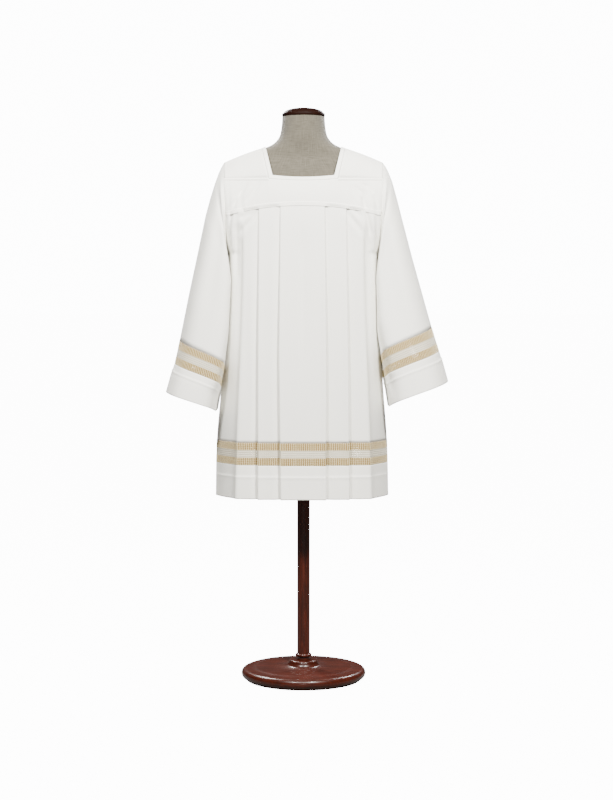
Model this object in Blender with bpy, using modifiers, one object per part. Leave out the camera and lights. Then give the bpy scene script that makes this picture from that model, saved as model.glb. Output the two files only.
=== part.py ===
"""A pleated surplice hanging on a limbless dress form that stands on a round wooden base.

Everything is in metres, +Z up. The front of the garment faces -Y, and left and right are as
seen from the front, so left is -X. The origin is the centre of the base's underside.
"""

import math
from collections import namedtuple

import bmesh
import bpy
from mathutils import Vector

COLLECTION_NAME = "surplice_on_dress_form"

# Cloth walls, and the gaps that part one sewn piece from the next.
WALL = 0.0011
DOUBLED_WALL = 0.0020
SEAM_GAP = 0.0003
YOKE_SEAM_GAP = 0.0006
SIDE_SEAM_GAP = 0.0009
ARMHOLE_GAP = 0.0016

# Turned profiles, from the centre of the top to the centre of the foot: radius and height.
# The base has a bull-nosed edge and a boss that takes the pole, and the cap is a low dome.
BASE_PROFILE = (
    (0.0, 0.0520),
    (0.0240, 0.0520),
    (0.0340, 0.0520),
    (0.0370, 0.0512),
    (0.0392, 0.0490),
    (0.0400, 0.0460),
    (0.0440, 0.0390),
    (0.0480, 0.0360),
    (0.1270, 0.0330),
    (0.1570, 0.0300),
    (0.1614, 0.0292),
    (0.1654, 0.0270),
    (0.1683, 0.0235),
    (0.1698, 0.0193),
    (0.1698, 0.0147),
    (0.1683, 0.0105),
    (0.1654, 0.0070),
    (0.1600, 0.0040),
    (0.1570, 0.0),
    (0.0, 0.0),
)
POLE_PROFILE = (
    (0.0, 0.7197),
    (0.0180, 0.7197),
    (0.0180, 0.0523),
    (0.0, 0.0523),
)
CAP_PROFILE = (
    (0.0, 1.5640),
    (0.0170, 1.5633),
    (0.0323, 1.5611),
    (0.0445, 1.5578),
    (0.0517, 1.5541),
    (0.0570, 1.5520),
    (0.0590, 1.5490),
    (0.0585, 1.5410),
    (0.0560, 1.5390),
    (0.0, 1.5390),
)
TURNED_STEPS = 36
MERGE_DISTANCE = 0.00001
SMOOTH_ANGLE = math.radians(40.0)

# Oval plate under the torso.
PLATE_HALF_WIDTH = 0.105
PLATE_HALF_DEPTH = 0.078
PLATE_THICKNESS = 0.018

# Torso of the form: a row for each level, with half its width and half its depth.
Level = namedtuple("Level", "z half_width half_depth")
TORSO_LEVELS = (
    Level(0.7383, 0.118, 0.086),
    Level(0.7480, 0.134, 0.096),
    Level(0.8200, 0.152, 0.104),
    Level(0.9400, 0.142, 0.099),
    Level(1.0600, 0.141, 0.100),
    Level(1.1800, 0.152, 0.104),
    Level(1.2700, 0.168, 0.104),
    Level(1.3300, 0.186, 0.094),
    Level(1.3700, 0.198, 0.084),
    Level(1.3930, 0.2010, 0.0750),
    Level(1.4100, 0.1995, 0.0660),
    Level(1.4215, 0.1925, 0.0600),
    Level(1.4300, 0.1720, 0.0580),
    Level(1.4408, 0.1430, 0.0575),
    Level(1.4510, 0.1130, 0.0575),
    Level(1.4605, 0.0900, 0.0585),
    Level(1.4705, 0.0765, 0.0595),
    Level(1.4850, 0.066, 0.060),
    Level(1.5100, 0.0605, 0.0590),
    Level(1.5387, 0.0580, 0.0575),
)
TORSO_SIDES = 32

# Square neck opening: its edge, and the outer edge of the strip that finishes it.
NeckEdge = namedtuple("NeckEdge", "ridge_x ridge_z corner_x corner_y corner_z centre_drop")
NECK_EDGE = {
    "front": NeckEdge(0.1040, 1.4570, 0.0830, 0.1000, 1.3720, 0.0050),
    "back": NeckEdge(0.1040, 1.4570, 0.0850, 0.0880, 1.3970, 0.0020),
}
NECK_STRIP_EDGE = {
    "front": NeckEdge(0.1140, 1.4528, 0.0930, 0.1022, 1.3622, 0.0048),
    "back": NeckEdge(0.1140, 1.4528, 0.0950, 0.0905, 1.3875, 0.0020),
}
NECK_STRIP_SHARES = (0.0, 0.965)
NECK_SIDE_TURN = math.radians(77.4)
NECK_FRONT_BOW = 0.003
NECK_SIDE_STEPS = 6
NECK_FRONT_STEPS = 6

# Armhole: an upright oval, its top at the shoulder point and its bottom at the underarm.
ARMHOLE_TOP_X = 0.2175
ARMHOLE_TOP_Z = 1.4130
ARMHOLE_BOTTOM_X = 0.2045
ARMHOLE_BOTTOM_Z = 1.1650
ARMHOLE_HALF_DEPTH = 0.0880
SHOULDER_SEAM_Z = {"front": 1.3640, "back": 1.3720}
SHOULDER_ARCH = 0.0020
SHOULDER_STEPS = 5
SHOULDER_SHARES = (0.985, 0.80, 0.60, 0.40, 0.20)

# Yoke: the line where the pleats are gathered in, level at the centre and lower at the sides.
YOKE_LINE_Z = 1.2950
YOKE_SIDE_DROP = 0.0240
YOKE_DROP_ENDS_Z = 1.2000
YOKE_DROP_REACH = 0.200
YOKE_DROP_POWER = 2.2
YOKE_NECK_SHARES = (1.0, 0.72, 0.36, 0.0)
YOKE_ROWS = 3
YOKE_TOP_SHARE = 0.006
YOKE_SWELL = 0.003
YOKE_SHIFT_START_X = 0.170

# Levels of the body, from the armhole down. face_y is how far the middle of the face stands
# from the centre plane, and the crease is where the face turns back into the side.
BodyLevel = namedtuple("BodyLevel", "z face_y crease_x crease_y left_x right_x")
BODY_LEVELS = {
    "front": (
        BodyLevel(1.3640, 0.1040, 0.1740, 0.0860, 0.2120, 0.2120),
        BodyLevel(1.2950, 0.1200, 0.1740, 0.1050, 0.2080, 0.2080),
        BodyLevel(1.1650, 0.1260, 0.1720, 0.1090, 0.2045, 0.2045),
        BodyLevel(1.0000, 0.1310, 0.1750, 0.1130, 0.2080, 0.2070),
        BodyLevel(0.8000, 0.1380, 0.1830, 0.1160, 0.2245, 0.2180),
        BodyLevel(0.6545, 0.1430, 0.1890, 0.1170, 0.2370, 0.2285),
        BodyLevel(0.5040, 0.1480, 0.1930, 0.1160, 0.2400, 0.2320),
    ),
    "back": (
        BodyLevel(1.3640, 0.1000, 0.1720, 0.0850, 0.2120, 0.2120),
        BodyLevel(1.2950, 0.1180, 0.1720, 0.1020, 0.2080, 0.2080),
        BodyLevel(1.1650, 0.1230, 0.1700, 0.1060, 0.2045, 0.2045),
        BodyLevel(1.0000, 0.1260, 0.1720, 0.1100, 0.2080, 0.2070),
        BodyLevel(0.8000, 0.1330, 0.1800, 0.1140, 0.2245, 0.2180),
        BodyLevel(0.6545, 0.1380, 0.1860, 0.1150, 0.2370, 0.2285),
        BodyLevel(0.5040, 0.1430, 0.1900, 0.1150, 0.2400, 0.2320),
    ),
}
FACE_ROUNDING = 2.4
CREASE_ROUNDING = 0.012
SIDE_HANDLE_SHARE = 0.55
CREASE_HANDLE_OUT = 0.004
CREASE_HANDLE_FORWARD = 0.001
SIDE_STEPS = 6
PANEL_STEPS = 2

# Knife pleats, whose folded edges face outwards. A row gives the folded edge's place at the
# yoke, half way down and at the hem, from left to right.
Pleat = namedtuple("Pleat", "top_x middle_x hem_x outward")
PLEATS = {
    "front": (
        Pleat(-0.1190, -0.1210, -0.1214, -1),
        Pleat(-0.0610, -0.0650, -0.0600, -1),
        Pleat(0.0566, 0.0608, 0.0600, 1),
        Pleat(0.1140, 0.1195, 0.1227, 1),
    ),
    "back": (
        Pleat(-0.1190, -0.1215, -0.1230, -1),
        Pleat(-0.0590, -0.0610, -0.0620, -1),
        Pleat(0.0590, 0.0620, 0.0600, 1),
        Pleat(0.1180, 0.1205, 0.1225, 1),
    ),
}
PLEAT_MIDDLE_Z = 0.8800
PLEAT_UNDERLAY = 0.032
PLEAT_PITCH_TOP = 0.0017
PLEAT_PITCH_HEM = 0.0042
TURN_POINTS = 4
LAYERS_PER_PLEAT = 2

# Soft hollow that runs down the middle panel, between the two inner pleats.
MIDDLE_HOLLOW_DEPTH = 0.0035
MIDDLE_HOLLOW_WIDTH = 0.0130
MIDDLE_HOLLOW_TOP_Z = 1.2500
MIDDLE_HOLLOW_TOP_FADE = 0.10
MIDDLE_HOLLOW_FOOT_Z = 0.7600
MIDDLE_HOLLOW_FOOT_FADE = 0.30

# Flute in each side of the body, deepest at the hem.
SIDE_FLUTE_DEPTH = 0.0070

# Heights of the parts of the body: the openwork band, then the hem piece down to its edge.
BAND_TOP_Z = 0.6545
BAND_FOOT_Z = 0.5940
HEM_Z = 0.5040
BODY_ROW_HEIGHTS = (YOKE_LINE_Z, 1.245, 1.205, 1.180, 1.166, 1.120, 0.980, 0.810, BAND_TOP_Z)

# Sleeves: a row for each ring, from the armhole to the cuff. The outer point is the ring's
# upper, outer end and the inner point is the end beside the body, which the inner wall wraps.
Ring = namedtuple("Ring", "part outer_x outer_z inner_x inner_z half_depth squareness wrap")
SLEEVE_RINGS = {
    -1: (
        Ring("sleeve", 0.2175, 1.4130, 0.2045, 1.1650, 0.0880, 2.0, 0.000),
        Ring("sleeve", 0.2300, 1.3850, 0.2085, 1.1350, 0.0930, 2.0, 0.006),
        Ring("sleeve", 0.2405, 1.3560, 0.2105, 1.1000, 0.0980, 2.1, 0.013),
        Ring("sleeve", 0.2540, 1.3130, 0.2120, 1.0650, 0.1030, 2.1, 0.023),
        Ring("sleeve", 0.2660, 1.2680, 0.2130, 1.0300, 0.1070, 2.2, 0.033),
        Ring("sleeve", 0.2900, 1.1530, 0.2160, 0.9700, 0.1140, 2.2, 0.047),
        Ring("sleeve", 0.3120, 1.0500, 0.2195, 0.9150, 0.1200, 2.3, 0.060),
        Ring("band", 0.3370, 0.9270, 0.2250, 0.8490, 0.1260, 2.3, 0.066),
        Ring("cuff", 0.3505, 0.8655, 0.2310, 0.7960, 0.1280, 2.3, 0.058),
        Ring("cuff", 0.3610, 0.8340, 0.2345, 0.7690, 0.1300, 2.3, 0.042),
        Ring("end", 0.3735, 0.7880, 0.2385, 0.7340, 0.1320, 2.3, 0.034),
    ),
    1: (
        Ring("sleeve", 0.2175, 1.4130, 0.2045, 1.1650, 0.0880, 2.0, 0.000),
        Ring("sleeve", 0.2300, 1.3890, 0.2085, 1.1350, 0.0930, 2.0, 0.008),
        Ring("sleeve", 0.2410, 1.3610, 0.2105, 1.1000, 0.0980, 2.1, 0.017),
        Ring("sleeve", 0.2535, 1.3150, 0.2115, 1.0700, 0.1030, 2.1, 0.029),
        Ring("sleeve", 0.2665, 1.2650, 0.2120, 1.0400, 0.1070, 2.2, 0.040),
        Ring("sleeve", 0.2950, 1.1580, 0.2135, 0.9900, 0.1140, 2.2, 0.050),
        Ring("sleeve", 0.3210, 1.0650, 0.2155, 0.9350, 0.1200, 2.3, 0.060),
        Ring("band", 0.3490, 0.9620, 0.2190, 0.8790, 0.1260, 2.3, 0.062),
        Ring("cuff", 0.3680, 0.8980, 0.2255, 0.8200, 0.1280, 2.3, 0.054),
        Ring("cuff", 0.3795, 0.8620, 0.2290, 0.7890, 0.1300, 2.3, 0.042),
        Ring("end", 0.3930, 0.8160, 0.2335, 0.7465, 0.1320, 2.3, 0.034),
    ),
}
RING_SIDES = 36
SLEEVE_PART_GAP = 0.006

# Lengthwise folds of a sleeve. The angle runs round the ring from its outer point over the
# front, and the two reaches are rings, counted from the armhole.
SleeveFold = namedtuple("SleeveFold", "angle depth spread first_ring last_ring")
SLEEVE_FOLDS = {
    -1: (
        SleeveFold(128.0, 0.0130, 15.0, 0.4, 10.0),
        SleeveFold(76.0, 0.0070, 13.0, 1.5, 7.5),
        SleeveFold(235.0, 0.0120, 15.0, 0.5, 10.0),
        SleeveFold(292.0, 0.0070, 14.0, 2.0, 8.5),
    ),
    1: (
        SleeveFold(124.0, 0.0130, 14.0, 0.4, 10.0),
        SleeveFold(82.0, 0.0080, 12.0, 1.5, 7.5),
        SleeveFold(238.0, 0.0120, 15.0, 0.5, 10.0),
        SleeveFold(286.0, 0.0070, 14.0, 2.0, 8.5),
    ),
}

FOLD_FADE_RINGS = 2.5
FOLD_END_LOSS = 0.7

FACE_SIGN = {"front": -1.0, "back": 1.0}
SIDE_NAMES = {-1: "left", 1: "right"}

# Plain materials: name, colour and roughness.
Finish = namedtuple("Finish", "name colour roughness")
FINISHES = {
    "cloth": Finish("white_cloth", (0.86, 0.85, 0.80, 1.0), 0.75),
    "openwork": Finish("openwork_band", (0.72, 0.58, 0.34, 1.0), 0.70),
    "linen": Finish("linen_cover", (0.55, 0.52, 0.47, 1.0), 0.90),
    "wood": Finish("polished_wood", (0.16, 0.045, 0.025, 1.0), 0.25),
}


def clear_scene():
    """Remove every object and collection that the scene starts with."""
    for item in list(bpy.data.objects):
        bpy.data.objects.remove(item, do_unlink=True)
    for group in list(bpy.data.collections):
        bpy.data.collections.remove(group)


def new_material(finish):
    """Return a plain material with one colour and roughness."""
    material = bpy.data.materials.new(finish.name)
    material.use_nodes = True
    shader = material.node_tree.nodes["Principled BSDF"]
    shader.inputs["Base Color"].default_value = finish.colour
    shader.inputs["Roughness"].default_value = finish.roughness
    shader.inputs["Metallic"].default_value = 0.0
    material.diffuse_color = finish.colour
    return material


def blend(start, end, share):
    """Return the value a share of the way from start to end."""
    return start + (end - start) * share


def smooth_share(value, low, high):
    """Return 0 below low and 1 above high, with a soft ramp between them."""
    share = min(max((value - low) / (high - low), 0.0), 1.0)
    return share * share * (3.0 - 2.0 * share)


def row_at(rows, key, column):
    """Read one column of a table at a key, on a smooth curve through the rows.

    The first column of the rows is the key, in falling or rising order.
    """
    keys = [row[0] for row in rows]
    values = [getattr(row, column) for row in rows]
    if keys[0] > keys[-1]:
        keys.reverse()
        values.reverse()
    if key <= keys[0]:
        return values[0]
    if key >= keys[-1]:
        return values[-1]
    index = max(place for place in range(len(keys) - 1) if keys[place] <= key)
    span = keys[index + 1] - keys[index]
    share = (key - keys[index]) / span

    def slope(place):
        low = max(place - 1, 0)
        high = min(place + 1, len(keys) - 1)
        return (values[high] - values[low]) / (keys[high] - keys[low])

    cube = share ** 3
    square = share ** 2
    return ((2 * cube - 3 * square + 1) * values[index]
            + (cube - 2 * square + share) * span * slope(index)
            + (3 * square - 2 * cube) * values[index + 1]
            + (cube - square) * span * slope(index + 1))


def add_object(name, mesh, material, collection):
    """Put a mesh in the scene as a smooth-shaded object with one material."""
    mesh.shade_smooth()
    mesh.set_sharp_from_angle(angle=SMOOTH_ANGLE)
    mesh.materials.append(material)
    item = bpy.data.objects.new(name, mesh)
    collection.objects.link(item)
    return item


def grid_mesh(name, rows, closed=False):
    """Build a surface from rows of points, closed round each row where it is a tube."""
    builder = bmesh.new()
    vertices = [[builder.verts.new(point) for point in row] for row in rows]
    count = len(rows[0])
    last = count if closed else count - 1
    for upper, lower in zip(vertices, vertices[1:]):
        for place in range(last):
            following = (place + 1) % count
            builder.faces.new((upper[place], lower[place], lower[following], upper[following]))
    mesh = bpy.data.meshes.new(name)
    builder.to_mesh(mesh)
    builder.free()
    return mesh


def add_cloth(name, rows, thickness, material, collection, closed=False):
    """Give a surface the thickness of cloth, half of it on each side."""
    item = add_object(name, grid_mesh(name, rows, closed), material, collection)
    solidify = item.modifiers.new("cloth thickness", "SOLIDIFY")
    solidify.thickness = thickness
    solidify.offset = 0.0
    solidify.use_even_offset = True
    return item


def add_capped_loft(name, rings, material, collection):
    """Join rings of points into a closed body with a flat face at each end."""
    mesh = grid_mesh(name, rings, closed=True)
    builder = bmesh.new()
    builder.from_mesh(mesh)
    bmesh.ops.holes_fill(builder, edges=[edge for edge in builder.edges if edge.is_boundary])
    bmesh.ops.recalc_face_normals(builder, faces=builder.faces)
    builder.to_mesh(mesh)
    builder.free()
    return add_object(name, mesh, material, collection)


def add_turned(name, profile, material, collection):
    """Turn a profile, given from its top to its foot, about the Z axis."""
    mesh = bpy.data.meshes.new(name)
    points = [(radius, 0.0, height) for radius, height in profile]
    edges = [(place, place + 1) for place in range(len(points) - 1)]
    mesh.from_pydata(points, edges, [])
    item = add_object(name, mesh, material, collection)
    screw = item.modifiers.new("turning", "SCREW")
    screw.steps = TURNED_STEPS
    screw.render_steps = TURNED_STEPS
    screw.use_merge_vertices = True
    screw.merge_threshold = MERGE_DISTANCE
    screw.use_smooth_shade = True
    return item


def oval(half_width, half_depth, height, sides):
    """Return the points of a level oval round the Z axis."""
    turns = [math.tau * place / sides for place in range(sides)]
    return [Vector((half_width * math.cos(turn), half_depth * math.sin(turn), height)) for turn in turns]


def make_torso(material, collection):
    """Build the torso and neck of the form in one smooth body."""
    rings = [oval(level.half_width, level.half_depth, level.z, TORSO_SIDES) for level in TORSO_LEVELS]
    return add_capped_loft("form_torso", rings, material, collection)


def make_plate(material, collection):
    """Build the wooden plate that carries the torso."""
    top = TORSO_LEVELS[0].z - SEAM_GAP
    rings = [oval(PLATE_HALF_WIDTH, PLATE_HALF_DEPTH, top - PLATE_THICKNESS * share, TURNED_STEPS)
             for share in (0.0, 1.0)]
    return add_capped_loft("form_plate", rings, material, collection)


def neck_side_point(edge, face, share):
    """Return a point of the neck's right side, from the shoulder ridge to a corner.

    The share is 0 on the ridge and 1 at the corner.
    """
    angle = share * NECK_SIDE_TURN
    fall = (1.0 - math.cos(angle)) / (1.0 - math.cos(NECK_SIDE_TURN))
    return Vector((
        blend(edge.ridge_x, edge.corner_x, fall),
        FACE_SIGN[face] * edge.corner_y * math.sin(angle) / math.sin(NECK_SIDE_TURN),
        blend(edge.ridge_z, edge.corner_z, fall),
    ))


def neck_front_point(edge, face, share):
    """Return a point of the neck's edge across the front or back, from right to left."""
    across = 1.0 - 2.0 * share
    sag = 1.0 - across * across
    return Vector((
        edge.corner_x * across,
        FACE_SIGN[face] * (edge.corner_y + NECK_FRONT_BOW * sag),
        edge.corner_z - edge.centre_drop * sag,
    ))


def neck_loop(edges):
    """Return the closed loop of the neck opening, starting on the right shoulder ridge."""
    side_shares = [step / NECK_SIDE_STEPS for step in range(NECK_SIDE_STEPS)]
    front_shares = [step / NECK_FRONT_STEPS for step in range(NECK_FRONT_STEPS)]
    points = [neck_side_point(edges["front"], "front", share) for share in side_shares]
    points += [neck_front_point(edges["front"], "front", share) for share in front_shares]
    points += [mirrored(neck_side_point(edges["front"], "front", 1.0 - share)) for share in side_shares]
    points += [mirrored(neck_side_point(edges["back"], "back", share)) for share in side_shares]
    points += [mirrored(neck_front_point(edges["back"], "back", share)) for share in front_shares]
    points += [neck_side_point(edges["back"], "back", 1.0 - share) for share in side_shares]
    return points


def mirrored(point):
    """Return a point's mirror image across the centre plane."""
    return Vector((-point.x, point.y, point.z))


def make_neck_strip(material, collection):
    """Build the doubled strip that finishes the square neck opening."""
    inner = neck_loop(NECK_EDGE)
    outer = neck_loop(NECK_STRIP_EDGE)
    rows = [[blend(start, end, share) for start, end in zip(inner, outer)] for share in NECK_STRIP_SHARES]
    return add_cloth("neck_strip", rows, WALL, material, collection, closed=True)


def armhole_point(face, height):
    """Return a point of the right armhole at a height, on its front or back half."""
    middle = (ARMHOLE_TOP_Z + ARMHOLE_BOTTOM_Z) / 2.0
    half = (ARMHOLE_TOP_Z - ARMHOLE_BOTTOM_Z) / 2.0
    rise = min(max((height - middle) / half, -1.0), 1.0)
    depth = max(ARMHOLE_HALF_DEPTH * math.sqrt(1.0 - rise * rise), SIDE_SEAM_GAP / 2.0)
    across = blend(ARMHOLE_BOTTOM_X, ARMHOLE_TOP_X, (rise + 1.0) / 2.0)
    return Vector((across, FACE_SIGN[face] * depth, height))


def shoulder_row(face, share):
    """Return a row of the right shoulder piece, from the neck strip to the armhole.

    The share is 0 on the ridge and 1 at the seam below it.
    """
    middle = (ARMHOLE_TOP_Z + ARMHOLE_BOTTOM_Z) / 2.0
    half = (ARMHOLE_TOP_Z - ARMHOLE_BOTTOM_Z) / 2.0
    seam_angle = math.acos((SHOULDER_SEAM_Z[face] - middle) / half)
    start = neck_side_point(NECK_STRIP_EDGE[face], face, share)
    end = armhole_point(face, middle + half * math.cos(share * seam_angle))
    row = []
    for step in range(SHOULDER_STEPS + 1):
        across = step / SHOULDER_STEPS
        point = blend(start, end, across)
        point.z += SHOULDER_ARCH * 4.0 * across * (1.0 - across) * (1.0 - share * share)
        row.append(point)
    return row


def make_shoulder(side, material, collection):
    """Build the shoulder piece that runs from the front yoke over the ridge to the back yoke."""
    rows = [shoulder_row("front", share) for share in SHOULDER_SHARES]
    rows.append(shoulder_row("front", 0.0))
    rows += [shoulder_row("back", share) for share in reversed(SHOULDER_SHARES)]
    if side < 0:
        rows = [[mirrored(point) for point in row] for row in rows]
    return add_cloth("shoulder_" + SIDE_NAMES[side], rows, WALL, material, collection)


def pleat_pitch(height):
    """Return the distance from one layer of a pleat to the next at a height."""
    share = smooth_share(YOKE_LINE_Z - height, 0.0, YOKE_LINE_Z - HEM_Z)
    return blend(PLEAT_PITCH_TOP, PLEAT_PITCH_HEM, share)


def pleat_edge(pleat, height):
    """Return how far across a pleat's folded edge lies at a height."""
    if height >= PLEAT_MIDDLE_Z:
        share = (YOKE_LINE_Z - height) / (YOKE_LINE_Z - PLEAT_MIDDLE_Z)
        return blend(pleat.top_x, pleat.middle_x, min(max(share, 0.0), 1.0))
    share = (PLEAT_MIDDLE_Z - height) / (PLEAT_MIDDLE_Z - HEM_Z)
    return blend(pleat.middle_x, pleat.hem_x, min(share, 1.0))


def face_point(face, across, layer, height, layer_count):
    """Return a point of the body's face at a height.

    Layer 0 is the outermost panel's, and each higher layer lies one pitch further out.
    """
    levels = BODY_LEVELS[face]
    pitch = pleat_pitch(height)
    crease_x = row_at(levels, height, "crease_x")
    crease_y = row_at(levels, height, "crease_y")
    middle_y = row_at(levels, height, "face_y") - layer_count * pitch
    reach = min(abs(across) / crease_x, 1.0)
    out = blend(middle_y, crease_y, reach ** FACE_ROUNDING) + layer * pitch
    if layer_count:
        depth = MIDDLE_HOLLOW_DEPTH
        depth *= smooth_share(MIDDLE_HOLLOW_TOP_Z - height, 0.0, MIDDLE_HOLLOW_TOP_FADE)
        depth *= smooth_share(height - MIDDLE_HOLLOW_FOOT_Z, 0.0, MIDDLE_HOLLOW_FOOT_FADE)
        out -= depth * math.exp(-(across / MIDDLE_HOLLOW_WIDTH) ** 2)
    return Vector((across, FACE_SIGN[face] * out, height))


def side_points(face, side, height, layer_count):
    """Return the points from a side seam or armhole round to the crease of the face."""
    levels = BODY_LEVELS[face]
    sign = FACE_SIGN[face]
    crease_x = row_at(levels, height, "crease_x")
    crease_y = row_at(levels, height, "crease_y")
    if height > ARMHOLE_BOTTOM_Z:
        start = armhole_point(face, height)
    else:
        side_x = row_at(levels, height, SIDE_NAMES[side] + "_x")
        start = Vector((side_x, sign * SIDE_SEAM_GAP / 2.0, height))
    end = face_point(face, crease_x - CREASE_ROUNDING, 0, height, layer_count)
    first_handle = Vector((start.x, blend(start.y, sign * crease_y, SIDE_HANDLE_SHARE), height))
    second_handle = Vector((crease_x + CREASE_HANDLE_OUT, sign * (crease_y + CREASE_HANDLE_FORWARD), height))
    flute = SIDE_FLUTE_DEPTH * smooth_share(ARMHOLE_BOTTOM_Z - height, 0.0, ARMHOLE_BOTTOM_Z - HEM_Z)
    points = []
    for step in range(SIDE_STEPS):
        share = step / SIDE_STEPS
        rest = 1.0 - share
        point = (start * rest ** 3 + first_handle * 3.0 * rest ** 2 * share
                 + second_handle * 3.0 * rest * share ** 2 + end * share ** 3)
        swell = math.sin(math.pi * share) ** 2
        point.x -= flute * swell
        points.append(Vector((side * point.x, point.y, height)))
    return points


def turn_points(face, edge_x, layer, facing, height, layer_count, rising):
    """Return the points of a fold's turn from one layer to the next.

    Facing is the way that the folded edge points, along X.
    """
    pitch = pleat_pitch(height)
    points = []
    for step in range(TURN_POINTS):
        angle = math.pi * step / (TURN_POINTS - 1)
        climb = (1.0 - math.cos(angle)) / 2.0
        if not rising:
            climb = 1.0 - climb
        across = edge_x + facing * pitch / 2.0 * (math.sin(angle) - 1.0)
        points.append(face_point(face, across, layer + climb, height, layer_count))
    return points


def panel_points(face, start_x, end_x, layer, height, layer_count, steps):
    """Return the points inside a flat panel, without its two ends."""
    shares = [step / steps for step in range(1, steps)]
    return [face_point(face, blend(start_x, end_x, share), layer, height, layer_count) for share in shares]


def body_section(face, height, pleated):
    """Return the level section of the front or back, from the left side to the right side."""
    pleats = PLEATS[face]
    pleats_a_side = len(pleats) // 2
    layer_count = LAYERS_PER_PLEAT * pleats_a_side if pleated else 0
    crease_x = row_at(BODY_LEVELS[face], height, "crease_x") - CREASE_ROUNDING
    points = side_points(face, -1, height, layer_count)
    points.append(face_point(face, -crease_x, 0, height, layer_count))
    last_x = -crease_x
    layer = 0
    for pleat in pleats:
        edge_x = pleat_edge(pleat, height)
        inner_x = edge_x - pleat.outward * PLEAT_UNDERLAY
        turns = ((inner_x, -pleat.outward), (edge_x, pleat.outward))
        rising = pleat.outward < 0
        if not rising:
            turns = tuple(reversed(turns))
        first_x = turns[0][0]
        points += panel_points(face, last_x, first_x, layer, height, layer_count, PANEL_STEPS)
        for turn_x, facing in turns:
            start_layer = layer if rising else layer - 1
            if pleated:
                points += turn_points(face, turn_x, start_layer, facing, height, layer_count, rising)
                layer += 1 if rising else -1
        last_x = turns[1][0]
    points += panel_points(face, last_x, crease_x, layer, height, layer_count, PANEL_STEPS)
    points.append(face_point(face, crease_x, 0, height, layer_count))
    points += list(reversed(side_points(face, 1, height, layer_count)))
    return points


def yoke_line_height(across, height):
    """Return a height, lowered towards the sides as the yoke line is."""
    reach = min(abs(across) / YOKE_DROP_REACH, 1.0)
    fade = smooth_share(height, YOKE_DROP_ENDS_Z, YOKE_LINE_Z)
    return height - YOKE_SIDE_DROP * fade * reach ** YOKE_DROP_POWER


def body_row(face, height):
    """Return a row of the body, which near the yoke follows its lowered ends."""
    level = body_section(face, height, pleated=True)
    if height <= YOKE_DROP_ENDS_Z:
        return level
    row = []
    for place, point in enumerate(level):
        row.append(body_section(face, yoke_line_height(point.x, height), pleated=True)[place])
    return row


def make_body(face, material, collection):
    """Build the pleated front or back between the yoke and the openwork band."""
    rows = [body_row(face, height) for height in BODY_ROW_HEIGHTS[:-1]]
    rows.append(body_row(face, BAND_TOP_Z + SEAM_GAP))
    for point in rows[0]:
        point.z -= YOKE_SEAM_GAP
    return add_cloth("body_" + face, rows, WALL, material, collection)


def make_body_strip(name, face, heights, thickness, material, collection):
    """Build a level strip of the body, such as its openwork band or its hem."""
    rows = [body_row(face, height) for height in heights]
    return add_cloth(name, rows, thickness, material, collection)


def yoke_top_point(face, across, end):
    """Return a point of the yoke's upper edge, under the neck strip or the shoulder seam."""
    edge = NECK_STRIP_EDGE[face]
    reach = abs(across)
    if reach <= edge.corner_x:
        return neck_front_point(edge, face, (1.0 - across / edge.corner_x) / 2.0)
    corner = neck_side_point(edge, face, 1.0)
    point = blend(corner, end, (reach - corner.x) / (end.x - corner.x))
    return point if across > 0.0 else mirrored(point)


def yoke_half_columns(face):
    """Return the top and foot points of the yoke's right half, from the armhole to the centre."""
    top_end = armhole_point(face, SHOULDER_SEAM_Z[face])
    foot_end = armhole_point(face, yoke_line_height(ARMHOLE_TOP_X, YOKE_LINE_Z))
    ratio = foot_end.x / top_end.x
    columns = []
    for place, point in enumerate(side_points(face, 1, foot_end.z, 0)):
        height = yoke_line_height(point.x, YOKE_LINE_Z)
        foot = side_points(face, 1, height, 0)[place]
        columns.append((yoke_top_point(face, point.x / ratio, top_end), foot))
    columns[0] = (top_end, foot_end)
    corner_x = NECK_STRIP_EDGE[face].corner_x
    crease_x = row_at(BODY_LEVELS[face], YOKE_LINE_Z, "crease_x") - CREASE_ROUNDING
    places = [crease_x, (crease_x + corner_x) / 2.0]
    places += [corner_x * share for share in YOKE_NECK_SHARES]
    for across in places:
        foot_x = across * ratio
        foot = face_point(face, foot_x, 0, yoke_line_height(foot_x, YOKE_LINE_Z), 0)
        columns.append((yoke_top_point(face, across, top_end), foot))
    return columns


def make_yoke(face, material, collection):
    """Build the plain band across the chest or the shoulder blades."""
    half = yoke_half_columns(face)
    top_end, foot_end = half[0]
    rows = []
    for step in range(YOKE_ROWS + 1):
        share = blend(YOKE_TOP_SHARE, 1.0, step / YOKE_ROWS)
        row = [blend(top, foot, share) for top, foot in half]
        shift = armhole_point(face, blend(top_end.z, foot_end.z, share)) - row[0]
        swell = YOKE_SWELL * math.sin(math.pi * share)
        for point in row:
            reach = smooth_share(point.x, YOKE_SHIFT_START_X, row[0].x)
            point.x += shift.x * reach
            point.y += shift.y * reach + FACE_SIGN[face] * swell * (1.0 - reach)
        rows.append([mirrored(point) for point in row] + list(reversed(row[:-1])))
    return add_cloth("yoke_" + face, rows, WALL, material, collection)


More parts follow.
